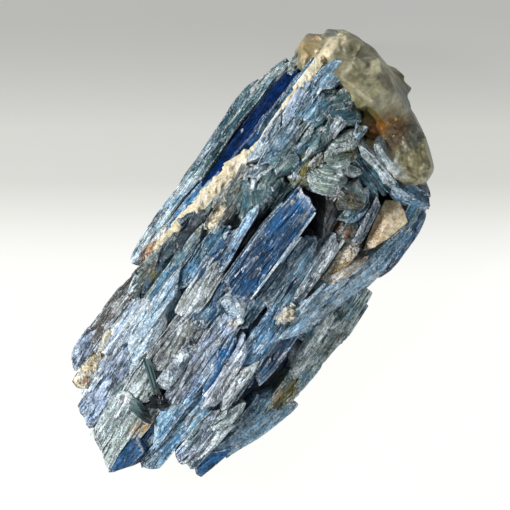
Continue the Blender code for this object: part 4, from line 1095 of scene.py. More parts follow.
# Lumps of the quartz head: centre, size and the flat faces cut on it, each an outward direction and its
# distance from the centre.
HEAD_LUMPS = (
    ((51.2, 4.0, 18.5), (18.0, 25.0, 36.0), (
        ((-1.0, 0.1, 0.3), 7.4), ((0.25, 0.15, 1.0), 16.6), ((0.9, -0.1, 0.75), 13.4),
        ((-0.2, -0.9, 0.9), 16.0), ((1.0, 0.5, 0.3), 9.4), ((0.95, -0.32, 0.05), 7.4),
        ((0.88, -0.48, 0.1), 8.3), ((0.4, 1.0, 0.3), 12.0), ((1.0, 0.1, -0.7), 12.4),
        ((1.0, 0.35, -0.22), 9.0), ((0.8, -0.6, -0.3), 8.6), ((0.95, -0.1, -0.45), 9.8),
        ((0.5, -0.2, -1.0), 15.5), ((0.9, 0.9, -0.5), 12.0),
    )),
    ((43.4, -14.4, 14.5), (13.0, 14.5, 27.0), (
        ((0.1, -0.5, 1.0), 13.0), ((1.0, -0.2, 0.5), 8.4), ((0.78, -0.63, 0.1), 5.8),
        ((-0.7, -1.0, 0.2), 8.4), ((-0.7, 0.1, 1.0), 13.4), ((0.3, -1.0, -0.7), 12.5),
        ((0.8, -0.8, -0.5), 6.6), ((0.2, -1.0, -0.5), 7.6), ((0.9, -0.3, -0.8), 9.0),
    )),
    ((46.6, -10.6, 13.0), (9.5, 10.0, 26.0), (
        ((0.2, 0.1, 1.0), 13.6), ((1.0, -0.5, 0.3), 5.4), ((0.8, -1.0, -0.4), 8.4),
        ((1.0, -0.3, -0.5), 6.0),
    )),
    ((46.2, -5.6, 13.0), (10.0, 11.0, 28.0), (
        ((-0.6, -0.2, 1.0), 13.2), ((0.6, -0.3, 1.0), 14.0), ((1.0, -0.6, 0.3), 7.2),
        ((1.0, -0.4, -0.5), 6.4),
    )),
    ((38.9, -10.6, 13.5), (5.0, 13.0, 29.0), (
        ((0.5, 0.1, 1.0), 14.4), ((-0.7, -0.1, 1.0), 14.4), ((-0.3, -1.0, 0.3), 7.0),
    )),
    ((50.4, 18.9, 16.0), (10.0, 6.6, 22.0), (
        ((0.1, 0.5, 1.0), 11.0), ((-0.8, 0.2, 1.0), 11.4), ((1.0, 0.6, 0.3), 4.8), ((-0.6, 1.0, 0.2), 3.9),
        ((0.3, 1.0, -0.5), 3.9),
    )),
    ((55.2, 13.4, 17.0), (8.6, 7.4, 28.0), (
        ((-0.1, 0.3, 1.0), 14.2), ((0.8, 0.2, 1.0), 14.0), ((1.0, 0.8, 0.2), 4.6),
    )),
    ((56.2, 16.6, 15.0), (4.6, 4.6, 19.0), (
        ((0.3, 0.5, 1.0), 9.6), ((1.0, 0.6, 0.3), 2.6),
    )),
    ((53.6, 5.0, 10.0), (11.0, 16.0, 21.0), (
        ((1.0, 0.3, 0.4), 6.2), ((1.0, -0.6, -0.2), 6.4), ((0.6, 0.1, -1.0), 10.2),
    )),
    ((47.0, 12.0, 8.0), (12.0, 12.0, 17.0), (
        ((0.8, 0.8, -0.3), 6.6), ((-0.2, 1.0, 0.1), 5.6),
    )),
    ((54.6, -1.5, 21.0), (5.6, 9.0, 14.0), (
        ((0.9, -0.5, 0.5), 3.0), ((0.3, -0.2, 1.0), 6.0),
    )),
    ((49.4, -7.2, 12.5), (12.0, 14.0, 21.0), (
        ((0.9, -0.435, 0.2), 4.9), ((0.5, -0.3, 1.0), 8.8), ((0.7, -0.4, -1.0), 9.0),
    )),
    ((57.2, 9.4, 22.0), (5.0, 8.0, 11.0), (
        ((1.0, 0.3, 0.5), 2.6), ((0.6, -0.6, 0.4), 3.4),
    )),
)
LUMP_CHIPS = 12  # corners chipped off each lump
CHIP_DEPTH = (0.92, 0.985)  # where a chip is cut, of the lump's reach
# Blocks of the vein: x, y, length, width, lift above the dome, turn.
VEIN_BLOCKS = (
    (-5.0, 21.6, 9.0, 1.4, -3.4, -5), (1.5, 20.4, 9.0, 2.6, -2.7, -11), (8.0, 19.0, 9.0, 3.4, -2.2, -6),
    (14.0, 18.2, 8.0, 3.2, -1.9, -8), (18.5, 17.4, 6.0, 4.0, -1.2, -24), (22.4, 16.4, 6.0, 1.8, -0.6, -7),
    (30.0, 16.4, 13.0, 0.9, -0.1, 1), (38.0, 16.3, 10.0, 1.1, 0.2, -1), (45.0, 15.9, 9.0, 2.6, 0.4, -3),
)
VEIN_FOOT = 8.0
VEIN_GRAINS = 1.6  # grains on each millimetre of a block
VEIN_GRAIN, VEIN_GRAIN_SUNK = 2.2, 0.36  # a grain's greatest size, and how deep it sits, of its size
VEIN_LEAN = 0.06  # how much steeper than the dome a block's top is
WEDGE_OUTLINE = (
    (18.8, -18.6), (22.0, -17.6), (28.0, -16.3), (31.8, -15.9), (33.4, -19.0),
    (32.0, -21.2), (30.4, -23.3), (25.0, -21.9), (21.0, -20.2),
)
WEDGE_BASE = 10.0
WEDGE_LIFT = 0.8
WEDGE_TOPS = (((-0.1, 0.45, 1.0), 0.4), ((0.05, -0.35, 1.0), 0.5), ((0.5, 0.1, 1.0), 0.9))
# The dark prisms: x and y of both ends, width and lift.
BROAD_PRISM = ((-42.6, 6.6), (-42.9, -1.0), 3.2, 0.9)
SLENDER_PRISM = ((-31.6, 9.0), (-37.6, 1.4), 1.9, 1.7)
PRISM_DEPTH = 6.0
DARK_LUMP = (-38.0, 0.9)
LUMP_GRAINS = 26


def join_all(name, pieces):
    """Joins pieces into one object, still as separate shells."""
    bpy.ops.object.select_all(action="DESELECT")
    for piece in pieces:
        piece.select_set(True)
    bpy.context.view_layer.objects.active = pieces[0]
    bpy.ops.object.join()
    joined = bpy.context.object
    joined.name = name
    joined.data.name = name
    return joined


def remesh(piece, grid):
    """Gives a piece one even skin."""
    melt = piece.modifiers.new("skin", "REMESH")
    melt.mode = "VOXEL"
    melt.voxel_size = grid
    apply(piece, melt)


def roughen(piece, kind, grain, height, middle=0.5):
    """Moves the skin in and out by a noise: CLOUDS for swells, VORONOI for grains."""
    pattern = bpy.data.textures.new(f"{piece.name} {kind} {grain}", kind)
    pattern.noise_scale = grain
    push = piece.modifiers.new("rough", "DISPLACE")
    push.texture = pattern
    push.texture_coords = "LOCAL"
    push.strength = height
    push.mid_level = middle
    apply(piece, push)
    bpy.data.textures.remove(pattern)


def cut_lump(name, centre, size, cuts, chance):
    """A convex crystal lump: its flat faces, then chipped corners."""
    bpy.ops.mesh.primitive_cube_add(size=1.0, location=centre, scale=size)
    lump = bpy.context.object
    lump.name = name
    bpy.ops.object.transform_apply(location=True, scale=True)
    middle = Vector(centre)
    for direction, distance in cuts:
        normal = Vector(direction).normalized()
        slice_off(lump, middle + normal * distance, normal)
    for _ in range(LUMP_CHIPS):
        direction = (chance.uniform(-1, 1), chance.uniform(-1, 1), chance.uniform(-0.3, 1))
        normal = Vector(direction).normalized()
        reach = max((corner.co - middle).dot(normal) for corner in lump.data.vertices)
        slice_off(lump, middle + normal * reach * chance.uniform(*CHIP_DEPTH), normal)
    return lump


def drop_point(target, x, y):
    """Where a plumb line at x, y meets the top of an object, or None."""
    hit, place, _, _ = target.ray_cast(Vector((x, y, 80.0)), Vector((0, 0, -1)))
    return place if hit else None


GRAIN_ZONES = (
    # x, y, spread, number of places tried, smallest and largest size: the crust on the head's top.
    (50.5, 6.0, 7.0, 16, 3.6, 7.0),
    (43.0, -15.5, 5.5, 46, 1.6, 3.6),
    (47.5, -12.0, 4.0, 26, 1.4, 3.0),
    (44.5, -6.5, 3.0, 16, 1.4, 2.8),
    (50.5, 19.4, 3.4, 8, 1.4, 3.0),
    (56.5, 15.0, 2.6, 8, 1.2, 2.8),
    (40.5, -19.0, 2.5, 12, 1.4, 2.8),
)


HEAD_MIDDLE = np.array((46.0, 2.0))
HEAD_TOP = 36.0
CRUST_TOP = 36.2  # no grain of the crust stands higher
HEAD_WAIST = (17.0, 21.0)  # the heights between which the head is widest
HEAD_TAPER = (0.34, 0.14)  # how far it draws in toward the floor and toward its top
TAPER_CURVE = (0.6, 1.4)
GRAIN_SUNK = 0.28  # how far below the skin a grain's middle lies, of its size
WALL_GRAINS = 420  # places tried for a grain on the head's walls
WALL_ANGLES, WALL_HEIGHTS = (-2.2, 1.5), (1.0, 18.0)
WALL_CENTRE = (48.0, 0.0)
WALL_GRAIN_SIZE, WALL_GRAIN_RANGE = 2.6, 6.0
HEAD_SKINS = (0.42, 0.36)  # the voxels of the bare lumps and of the crusted head


def draw_in(head):
    """Narrows the head below and above its waist, so that its walls bulge."""
    points, _ = corner_points(head.data)
    low = np.clip(1.0 - points[:, 2] / HEAD_WAIST[0], 0.0, 1.0)
    high = np.clip((points[:, 2] - HEAD_WAIST[1]) / (HEAD_TOP - HEAD_WAIST[1]), 0.0, 1.0)
    share = 1.0 - HEAD_TAPER[0] * low ** TAPER_CURVE[0] - HEAD_TAPER[1] * high ** TAPER_CURVE[1]
    points[:, :2] = HEAD_MIDDLE + (points[:, :2] - HEAD_MIDDLE) * share[:, None]
    head.data.vertices.foreach_set("co", points.ravel())
    head.data.update()


def grain_of_crust(head, centre, size, chance):
    """One crystal of the head's crust, left out where it would stick out past the rim or the top."""
    grain = bpy.data.objects.new("grain", chance.choice(GRAINS).data.copy())
    grain.data.transform(Matrix.Translation(centre) @ any_turn(chance) @ Matrix.Scale(size, 4))
    for corner in grain.data.vertices:
        if corner.co.z > CRUST_TOP or drop_point(head, corner.co.x, corner.co.y) is None:
            throw_away(grain)
            return []
    bpy.context.scene.collection.objects.link(grain)
    return [grain]


def crust(head, chance):
    """The grains that crust the head's top and its walls."""
    grains = []
    for x, y, spread, count, small, large in GRAIN_ZONES:
        for _ in range(count):
            at_x, at_y = x + chance.gauss(0, spread / 2), y + chance.gauss(0, spread / 2)
            place = drop_point(head, at_x, at_y)
            if place is not None:
                size = chance.uniform(small, large)
                grains += grain_of_crust(head, place - Vector((0, 0, GRAIN_SUNK * size)), size, chance)
    for _ in range(WALL_GRAINS):
        angle = chance.uniform(*WALL_ANGLES)
        height = chance.uniform(*WALL_HEIGHTS)
        outward = Vector((math.cos(angle), math.sin(angle), 0.0))
        hit, place, normal, _ = head.ray_cast(Vector((*WALL_CENTRE, height)) + outward * 60.0, -outward)
        if hit:
            size = WALL_GRAIN_SIZE + WALL_GRAIN_RANGE * chance.random() ** 2
            grains += grain_of_crust(head, place - normal * GRAIN_SUNK * size, size, chance)
    return grains


def make_head():
    """The quartz head: big flat-faced crystals under a crust of small ones."""
    chance = random.Random(SEED + 1)
    lumps = [cut_lump(f"lump {number}", *row, chance) for number, row in enumerate(HEAD_LUMPS)]
    head = join_all("quartz_crown", lumps)
    remesh(head, HEAD_SKINS[0])
    draw_in(head)
    head = join_all("quartz_crown", [head] + crust(head, chance))
    remesh(head, HEAD_SKINS[1])
    roughen(head, "CLOUDS", 5.0, 0.5, middle=0.62)
    roughen(head, "CLOUDS", 1.5, 0.14)
    roughen(head, "CLOUDS", 0.6, 0.05)
    rest_on_floor(head)
    return to_metres(head)


def make_vein():
    """The cream vein along the parting."""
    chance = random.Random(SEED + 2)
    blocks = []
    for x, y, length, width, lift, turn in VEIN_BLOCKS:
        top = dome(x, y) + lift
        bpy.ops.mesh.primitive_cube_add(size=1.0)
        block = bpy.context.object
        height = top - VEIN_FOOT
        rise = (dome(x + 1.0, y) - dome(x - 1.0, y)) / 2.0
        pose = Matrix.Translation((x, y, top)) @ Matrix.Rotation(math.radians(turn), 4, "Z")
        pose @= Matrix.Rotation(-math.atan(rise + VEIN_LEAN), 4, "Y")
        pose @= Matrix.Translation((0, 0, -height / 2))
        block.data.transform(pose @ Matrix.Diagonal((length, width, height, 1.0)))
        blocks.append(block)
        for _ in range(int(length * VEIN_GRAINS)):
            grain = bpy.data.objects.new("grain", chance.choice(GRAINS).data.copy())
            bpy.context.scene.collection.objects.link(grain)
            size = chance.uniform(0.5, 1.0) * min(width, VEIN_GRAIN)
            along = Vector((chance.uniform(-0.5, 0.5) * length, chance.uniform(-0.3, 0.3) * width, 0))
            along.rotate(Matrix.Rotation(math.radians(turn), 3, "Z"))
            place = Vector((x, y, top - VEIN_GRAIN_SUNK * size)) + along
            grain.data.transform(Matrix.Translation(place) @ any_turn(chance) @ Matrix.Scale(size, 4))
            blocks.append(grain)
    vein = join_all("vein", blocks)
    remesh(vein, 0.22)
    roughen(vein, "CLOUDS", 3.4, 0.8)
    roughen(vein, "CLOUDS", 0.45, 0.15)
    return to_metres(vein)


def make_wedge():
    """The glassy quartz wedge set in the flank."""
    places_x, places_y = zip(*WEDGE_OUTLINE)
    middle = Vector((sum(places_x), sum(places_y))) / len(WEDGE_OUTLINE)
    top = dome(*middle) + WEDGE_LIFT
    bpy.ops.mesh.primitive_circle_add(vertices=len(WEDGE_OUTLINE), radius=1.0, fill_type="NGON")
    wedge = bpy.context.object
    wedge.name = "peach_quartz"
    wedge.data.name = "peach_quartz"
    for corner, (x, y) in zip(wedge.data.vertices, WEDGE_OUTLINE):
        corner.co = (x, y, WEDGE_BASE)
    pick_faces(wedge, lambda centre, normal: True)
    in_edit(
        (bpy.ops.mesh.extrude_region_move, {"TRANSFORM_OT_translate": {"value": (0, 0, 24.0)}}),
        (bpy.ops.mesh.select_all, {"action": "SELECT"}),
        (bpy.ops.mesh.normals_make_consistent, {}),
    )
    for direction, distance in WEDGE_TOPS:
        normal = Vector(direction).normalized()
        slice_off(wedge, Vector((middle.x, middle.y, top)) + normal * distance, normal)
    remesh(wedge, 0.16)
    roughen(wedge, "CLOUDS", 1.8, 0.28)
    roughen(wedge, "VORONOI", 1.1, 0.12)
    return to_metres(wedge)


def prism_of_laths(heap, row, count, tones):
    """A dark prism: a stout lath and finer ones side by side on it."""
    start, end, width, lift = row
    chance, second = heap.chance, TONES[tones[1]]
    pose, length = pose_between(on_dome(*start, lift), on_dome(*end, lift), 0.0)
    heap.add(LATHS[1], offset_pose(pose, 0, 0, -0.15), (length * 0.97, width * 0.9, PRISM_DEPTH),
             second, second)
    for number in range(count):
        y = (number + 0.5) / count * width * 0.9 - 0.45 * width
        height = -0.12 - 0.5 * abs(2 * y / width) ** 2
        heap.add(chance.choice(LATHS[:2]), offset_pose(pose, chance.uniform(-0.2, 0.2), y, height),
                 (length * chance.uniform(0.86, 0.98), width / count * 1.25, 3.0), heap.tone(*tones), second)


def make_dark_crystals():
    """The broad dark prism and the slender one with its black lump."""
    broad = Heap("dark_crystal_broad")
    start, end, width, lift = BROAD_PRISM
    pose, length = pose_between(on_dome(*start, lift), on_dome(*end, lift), 0.0)
    tones = [broad.tone("deepteal", "greygreen", 0.4) for _ in range(12)]
    Blade(broad, length, width, 0.7, 0.7, (0.4, 0.4, 0.9, -0.3)).sculpt(pose, tones, TONES["slate"])
    slender = Heap("dark_crystal_slender")
    prism_of_laths(slender, SLENDER_PRISM, 3, ("greygreen", "deepteal"))
    x, y = DARK_LUMP
    chance, black = slender.chance, TONES["black"]
    for _ in range(LUMP_GRAINS):
        size = chance.uniform(1.2, 2.4)
        at_x, at_y = x + chance.uniform(-1.3, 1.3), y + chance.uniform(-1.7, 1.7)
        turn = any_turn(chance)
        pose = Matrix.Translation((at_x, at_y, dome(x, y) - chance.uniform(0.0, 1.2))) @ turn
        slender.add(chance.choice(GRAINS), pose, (size, size, size), slender.tone("black", "slate"), black)
    slender.add(GRAINS[0], Matrix.Translation(on_dome(x, y, -3.0)), (3.0, 3.6, 6.0), black, black)
    return grown_piece(broad), grown_piece(slender)


# ---------------------------------------------------------------- surfaces

def new_group(name, inputs, outputs):
    """A shader node group with named sockets; returns its tree, its input node and its output node."""
    tree = bpy.data.node_groups.new(name, "ShaderNodeTree")
    for direction, sockets in (("INPUT", inputs), ("OUTPUT", outputs)):
        for label, kind, value in sockets:
            socket = tree.interface.new_socket(name=label, in_out=direction, socket_type="NodeSocket" + kind)
            if value is not None:
                socket.default_value = value
    return tree, tree.nodes.new("NodeGroupInput"), tree.nodes.new("NodeGroupOutput")


class Wiring:
    """Short ways to add and join nodes in one tree."""

    def __init__(self, tree):
        self.tree = tree

    def add(self, kind, settings=(), **inputs):
        """A node with its settings and its inputs, each a value or the socket that feeds it."""
        node = self.tree.nodes.new("ShaderNode" + kind)
        for name, value in dict(settings).items():
            setattr(node, name, value)
        self.fill(node, **inputs)
        return node

    def fill(self, node, **inputs):
        """Feeds a node's inputs, each with a value or the socket that feeds it."""
        for name, value in inputs.items():
            self.feed(node.inputs[name.replace("_", " ")], value)

    def feed(self, socket, value):
        """Joins or sets one input; a plain colour is made opaque."""
        if isinstance(value, bpy.types.NodeSocket):
            self.tree.links.new(value, socket)
        elif socket.type == "RGBA" and len(value) == 3:
            socket.default_value = (*value, 1.0)
        else:
            socket.default_value = value

    def feed_in_order(self, node, *values):
        """Feeds a node's first inputs, in their order, and returns the node."""
        for socket, value in zip(node.inputs, values):
            self.feed(socket, value)
        return node

    def math(self, operation, *values):
        """A sum on up to three values."""
        return self.feed_in_order(self.add("Math", {"operation": operation}), *values).outputs[0]

    def vector(self, operation, *values):
        """A sum on one or two vectors; LENGTH gives a value."""
        node = self.feed_in_order(self.add("VectorMath", {"operation": operation}), *values)
        return node.outputs["Value" if operation in ("LENGTH", "DOT_PRODUCT") else "Vector"]

    def blend(self, amount, first, second, kind="MIX"):
        """The first colour, with an amount of the second mixed or multiplied in."""
        node = self.add("Mix", {"data_type": "RGBA", "blend_type": kind})
        for number, value in ((0, amount), (6, first), (7, second)):
            self.feed(node.inputs[number], value)
        return node.outputs[2]

    def shade(self, colour, light):
        """A colour made lighter or darker."""
        grey = self.add("CombineColor", Red=light, Green=light, Blue=light).outputs[0]
        return self.blend(1.0, colour, grey, "MULTIPLY")

    def noise(self, vector, scale, detail=2.0, roughness=0.5, distortion=0.0):
        """A value that changes over space, from 0 to 1."""
        node = self.add("TexNoise", Vector=vector, Scale=scale, Detail=detail, Roughness=roughness,
                        Distortion=distortion)
        return node.outputs["Fac"]

    def step(self, value, low, high, to_low=0.0, to_high=1.0):
        """Smooth step of a value between two thresholds."""
        node = self.add("MapRange", {"interpolation_type": "SMOOTHSTEP"})
        return self.feed_in_order(node, value, low, high, to_low, to_high).outputs[0]

    def attribute(self, name, output="Fac"):
        """What the mesh carries under a name."""
        return self.add("Attribute", {"attribute_name": name}).outputs[output]

    def group(self, tree, **inputs):
        """A node group with its inputs."""
        return self.add("Group", {"node_tree": tree}, **inputs)

    def stained(self, colour, place, stains):
        """A colour with stains: the centre and reach of each in millimetres, its tint and its amount."""
        for centre, reach, tint, amount in stains:
            colour = self.group(STAIN, Colour=colour, Place=place, Centre=centre, Reach=reach,
                                Tint=TONES[tint], Amount=amount).outputs[0]
        return colour

    def bump(self, surface, height, strength, distance):
        """Raises the surface by a height, as far as a distance in metres."""
        bump = self.add("Bump", Height=height, Strength=strength, Distance=distance)
        self.feed(surface.inputs["Normal"], bump.outputs["Normal"])


def make_position_group():
    """Place on the specimen in millimetres, plain and wandering a little, as natural patches do."""
    tree, entry, leave = new_group("place", (("Wander", "Float", 2.0),),
                                   (("Place", "Vector", None), ("Wandered", "Vector", None)))
    w = Wiring(tree)
    here = w.vector("SCALE", w.add("TexCoord").outputs["Object"])
    w.feed(here.node.inputs["Scale"], 1 / MM)
    wander = w.add("TexNoise", Vector=here, Scale=0.34, Detail=4.0, Roughness=0.62)
    shift = w.vector("SUBTRACT", wander.outputs["Color"], (0.5, 0.5, 0.5))
    scaled = w.vector("SCALE", shift)
    w.feed(scaled.node.inputs["Scale"], entry.outputs["Wander"])
    w.fill(leave, Place=here, Wandered=w.vector("ADD", here, scaled))
    return tree


def make_stain_group():
    """Colours the surface round one place."""
    tree, entry, leave = new_group(
        "stain",
        (("Colour", "Color", None), ("Place", "Vector", None), ("Centre", "Vector", None),
         ("Reach", "Vector", (3.0, 3.0, 30.0)), ("Tint", "Color", None), ("Amount", "Float", 0.8)),
        (("Colour", "Color", None),))
    w = Wiring(tree)
    away = w.vector("SUBTRACT", entry.outputs["Place"], entry.outputs["Centre"])
    near = w.vector("LENGTH", w.vector("DIVIDE", away, entry.outputs["Reach"]))
    amount = w.math("MULTIPLY", w.step(near, 1.15, 0.45), entry.outputs["Amount"])
    w.fill(leave, Colour=w.blend(amount, entry.outputs["Colour"], entry.outputs["Tint"]))
    return tree


def make_fibre_group():
    """Growth lines along a blade, and the flakes where glints are painted, in its own grain coordinates."""
    tree, _, leave = new_group("fibres", (), (("Fine", "Float", None), ("Broad", "Float", None),
                                              ("Flakes", "Float", None), ("Lines", "Float", None)))
    w = Wiring(tree)
    grain = w.add("UVMap", {"uv_map": "grain"}).outputs["UV"]
    fine = w.noise(w.vector("MULTIPLY", grain, (0.09, 2.6, 1.0)), 1.0, 4.0, 0.66)
    broad = w.noise(w.vector("MULTIPLY", grain, (0.09, 0.8, 1.0)), 1.0, 3.0, 0.55, 0.3)
    flakes = w.noise(w.vector("MULTIPLY", grain, (1.1, 2.4, 1.0)), 1.0, 3.0, 0.7)
    lines = w.step(w.math("ABSOLUTE", w.math("SUBTRACT", broad, 0.5)), 0.0, 0.028, 1.0, 0.0)
    w.fill(leave, Fine=fine, Broad=broad, Flakes=flakes, Lines=lines)
    return tree


def new_material(name):
    """A material with a plain Principled surface; returns it, its wiring and its shader."""
    material = bpy.data.materials.new(name)
    material.use_nodes = True
    return material, Wiring(material.node_tree), material.node_tree.nodes["Principled BSDF"]


PLACE = make_position_group()
STAIN = make_stain_group()
FIBRES = make_fibre_group()

KYANITE_IOR = 1.5
QUARTZ_IOR = 1.544
QUARTZ_DEEP, QUARTZ_MILKY = srgb(114, 111, 84), srgb(166, 161, 133)
PEACH_DEEP, PEACH_MILKY = srgb(172, 148, 108), srgb(226, 212, 184)
VEIN_WHITE = srgb(246, 240, 224)

KYANITE_STAINS = (
    # x, y, reach along x, reach along y, tint, amount
    (-11.0, 23.3, 3.6, 1.4, "rust", 0.75),
    (-14.5, 19.2, 1.8, 1.0, "olive", 0.8),
    (0.3, 16.0, 1.8, 0.9, "olive", 0.7),
    (-40.6, 19.6, 3.6, 1.0, "cream", 0.7),
    (-44.4, 17.9, 1.9, 0.9, "rust", 0.75),
    (-42.0, 18.4, 2.4, 0.5, "tan", 0.7),
    (-33.0, 19.6, 3.0, 1.0, "cream", 0.5),
    (5.0, 14.4, 4.4, 1.2, "cream", 0.95),
    (25.6, 3.9, 2.3, 1.9, "olive", 0.85),
    (29.5, 2.0, 3.0, 1.4, "brown", 0.7),
    (26.4, -9.4, 1.3, 1.1, "olive", 0.8),
    (19.6, -13.2, 2.8, 1.3, "rust", 0.6),
    (12.0, -16.4, 3.4, 1.5, "tan", 0.6),
    (-4.0, -12.6, 2.5, 1.6, "cream", 0.75),
    (-5.4, -13.2, 0.7, 0.6, "black", 0.8),
    (-18.2, -23.8, 2.0, 1.4, "olive", 0.8),
    (-21.5, -22.0, 2.6, 1.3, "tan", 0.5),
    (-1.5, -25.3, 1.3, 0.6, "rust", 0.6),
    (-47.0, 1.4, 2.6, 1.1, "tan", 0.65),
    (-13.0, -3.0, 1.9, 1.2, "tan", 0.45),
    (18.5, 1.8, 0.9, 0.8, "cream", 0.6),
    (20.6, -0.6, 2.0, 3.0, "lilac", 0.5),
    (-9.0, -1.5, 2.6, 3.4, "pale", 0.35),
    (35.5, -2.2, 2.4, 1.0, "olive", 0.55),
    (44.5, 3.0, 2.2, 2.2, "black", 0.6),
    (36.0, 6.2, 1.3, 0.9, "white", 0.6),
)


def kyanite(name, glint):
    """Kyanite: blue to grey, streaked along its blades, with painted white glints, painted highlights on pale
    rims that are partly fresh edges, pale frosted patches that are partly painted sheen, dull patches and
    earth stains.

    The glint is how strongly its smooth faces shine.
    """
    material, w, surface = new_material(name)
    place = w.group(PLACE, Wander=3.0)
    fibres = w.group(FIBRES)
    tone, second = w.attribute("tone", "Color"), w.attribute("second", "Color")
    along = w.vector("MULTIPLY", place.outputs["Wandered"], (0.5, 1.0, 1.0))
    clouds = w.noise(along, 0.42, 4.0, 0.62)
    patches = w.noise(along, 0.2, 3.0, 0.55)
    lively = w.step(w.attribute("calm"), 0.95, 0.3, 0.05, 1.0)
    grit = w.noise(place.outputs["Place"], 2.1, 3.0, 0.75)
    spots = w.noise(along, 0.95, 3.0, 0.6)
    fine, broad, streak = fibres.outputs["Fine"], fibres.outputs["Broad"], fibres.outputs["Lines"]
    luma = w.add("RGBToBW", Color=tone).outputs[0]
    frost_and_sheen = w.math("MULTIPLY", w.step(luma, 0.03, 0.3, 0.14, 1.0), lively)
    both = w.math("ADD", w.math("MULTIPLY", clouds, 0.6), w.math("MULTIPLY", broad, 0.4))
    colour = w.blend(w.step(both, 0.45, 0.57), tone, second)
    dull = w.math("MULTIPLY", w.step(patches, 0.54, 0.7), w.math("MULTIPLY", lively, 0.3))
    colour = w.blend(dull, colour, TONES["greygreen"])
    # Painted sheen: pale frosted patches on the lighter, lively blades, partly pale cleavage.
    bank = w.math("MULTIPLY_ADD", fine, 0.36, w.math("MULTIPLY", clouds, 0.64))
    colour = w.blend(w.math("MULTIPLY", w.step(bank, 0.48, 0.64), frost_and_sheen), colour, TONES["pale"])
    colour = w.stained(colour, place.outputs["Wandered"], [
        ((x, y, 20.0), (reach_x, reach_y, 30.0), tint, amount)
        for x, y, reach_x, reach_y, tint, amount in KYANITE_STAINS])
    light = w.math("MULTIPLY", w.step(fine, 0.3, 0.7, 0.76, 1.24), w.step(patches, 0.34, 0.62, 0.7, 1.28))
    light = w.math("MULTIPLY", light, w.step(spots, 0.38, 0.62, 0.74, 1.28))
    light = w.math("MULTIPLY", light, w.step(grit, 0.36, 0.64, 0.62, 1.42))
    light = w.math("MULTIPLY", light, w.math("SUBTRACT", 1.0, w.math("MULTIPLY", streak, 0.6)))
    colour = w.shade(colour, light)
    # Painted glints: white flakes along the grain, and painted highlights on the pale rims.
    painted_glints = w.math("MULTIPLY", w.step(fibres.outputs["Flakes"], 0.55, 0.66), w.step(clouds, 0.46, 0.6))
    edge = w.math("MULTIPLY", w.attribute("rim"), w.step(grit, 0.42, 0.6, 0.0, 0.6))
    edge = w.math("MULTIPLY", edge, w.step(luma, 0.02, 0.09, 0.1, 1.0))
    bright = w.math("MAXIMUM", w.math("MULTIPLY", painted_glints, w.math("MULTIPLY", frost_and_sheen, 0.9)), edge)
    colour = w.blend(bright, colour, TONES["white"])
    sheen = w.math("SUBTRACT", w.step(grit, 0.35, 0.65, 0.95, 0.62), w.math("MULTIPLY", lively, 0.42))
    w.fill(surface, Base_Color=colour, Roughness=sheen, IOR=KYANITE_IOR, Specular_IOR_Level=glint)
    height = w.math("MULTIPLY_ADD", fine, 0.7, w.math("MULTIPLY", grit, 0.8))
    w.bump(surface, w.math("SUBTRACT", height, w.math("MULTIPLY", streak, 0.3)), 1.0, 0.0003)
    return material


HEAD_STAINS = (
    # x, y, reach along x, y and z, tint, amount
    (46.0, 1.0, 4.0, 5.0, 16.0, "olive", 0.5),
    (43.0, -16.5, 8.0, 6.0, 15.0, "olive", 0.5),
    (48.0, -12.0, 5.0, 4.0, 15.0, "slate", 0.4),
    (38.6, -11.5, 2.2, 6.0, 15.0, "pale", 0.7),
    (45.6, -5.6, 7.0, 7.6, 15.0, "olive", 0.9),
    (44.8, -6.4, 6.0, 6.0, 15.0, "amber", 0.8),
    (44.0, -8.4, 4.6, 3.2, 15.0, "brown", 0.7),
    (44.6, -4.8, 2.6, 2.2, 15.0, "rust", 0.45),
    (48.0, -8.6, 3.4, 2.8, 15.0, "amber", 0.6),
    # Painted shade: the dark teal-green on the head's right flank, the side turned from the key light.
    (54.6, -8.6, 3.4, 8.4, 17.0, "deepteal", 0.7),
    (50.6, 19.6, 4.6, 3.0, 16.0, "tan", 0.6),
    (48.6, 20.6, 2.2, 1.2, 16.0, "olive", 0.6),
    (54.4, 20.4, 1.6, 1.4, 16.0, "rust", 0.5),
    (50.0, 15.6, 8.0, 1.6, 16.0, "cream", 0.85),
    (56.0, 14.4, 3.4, 2.2, 16.0, "cream", 0.55),
    (57.0, 17.4, 2.0, 1.4, 16.0, "slate", 0.6),
    (48.6, 6.4, 2.4, 1.6, 16.0, "tan", 0.45),
)


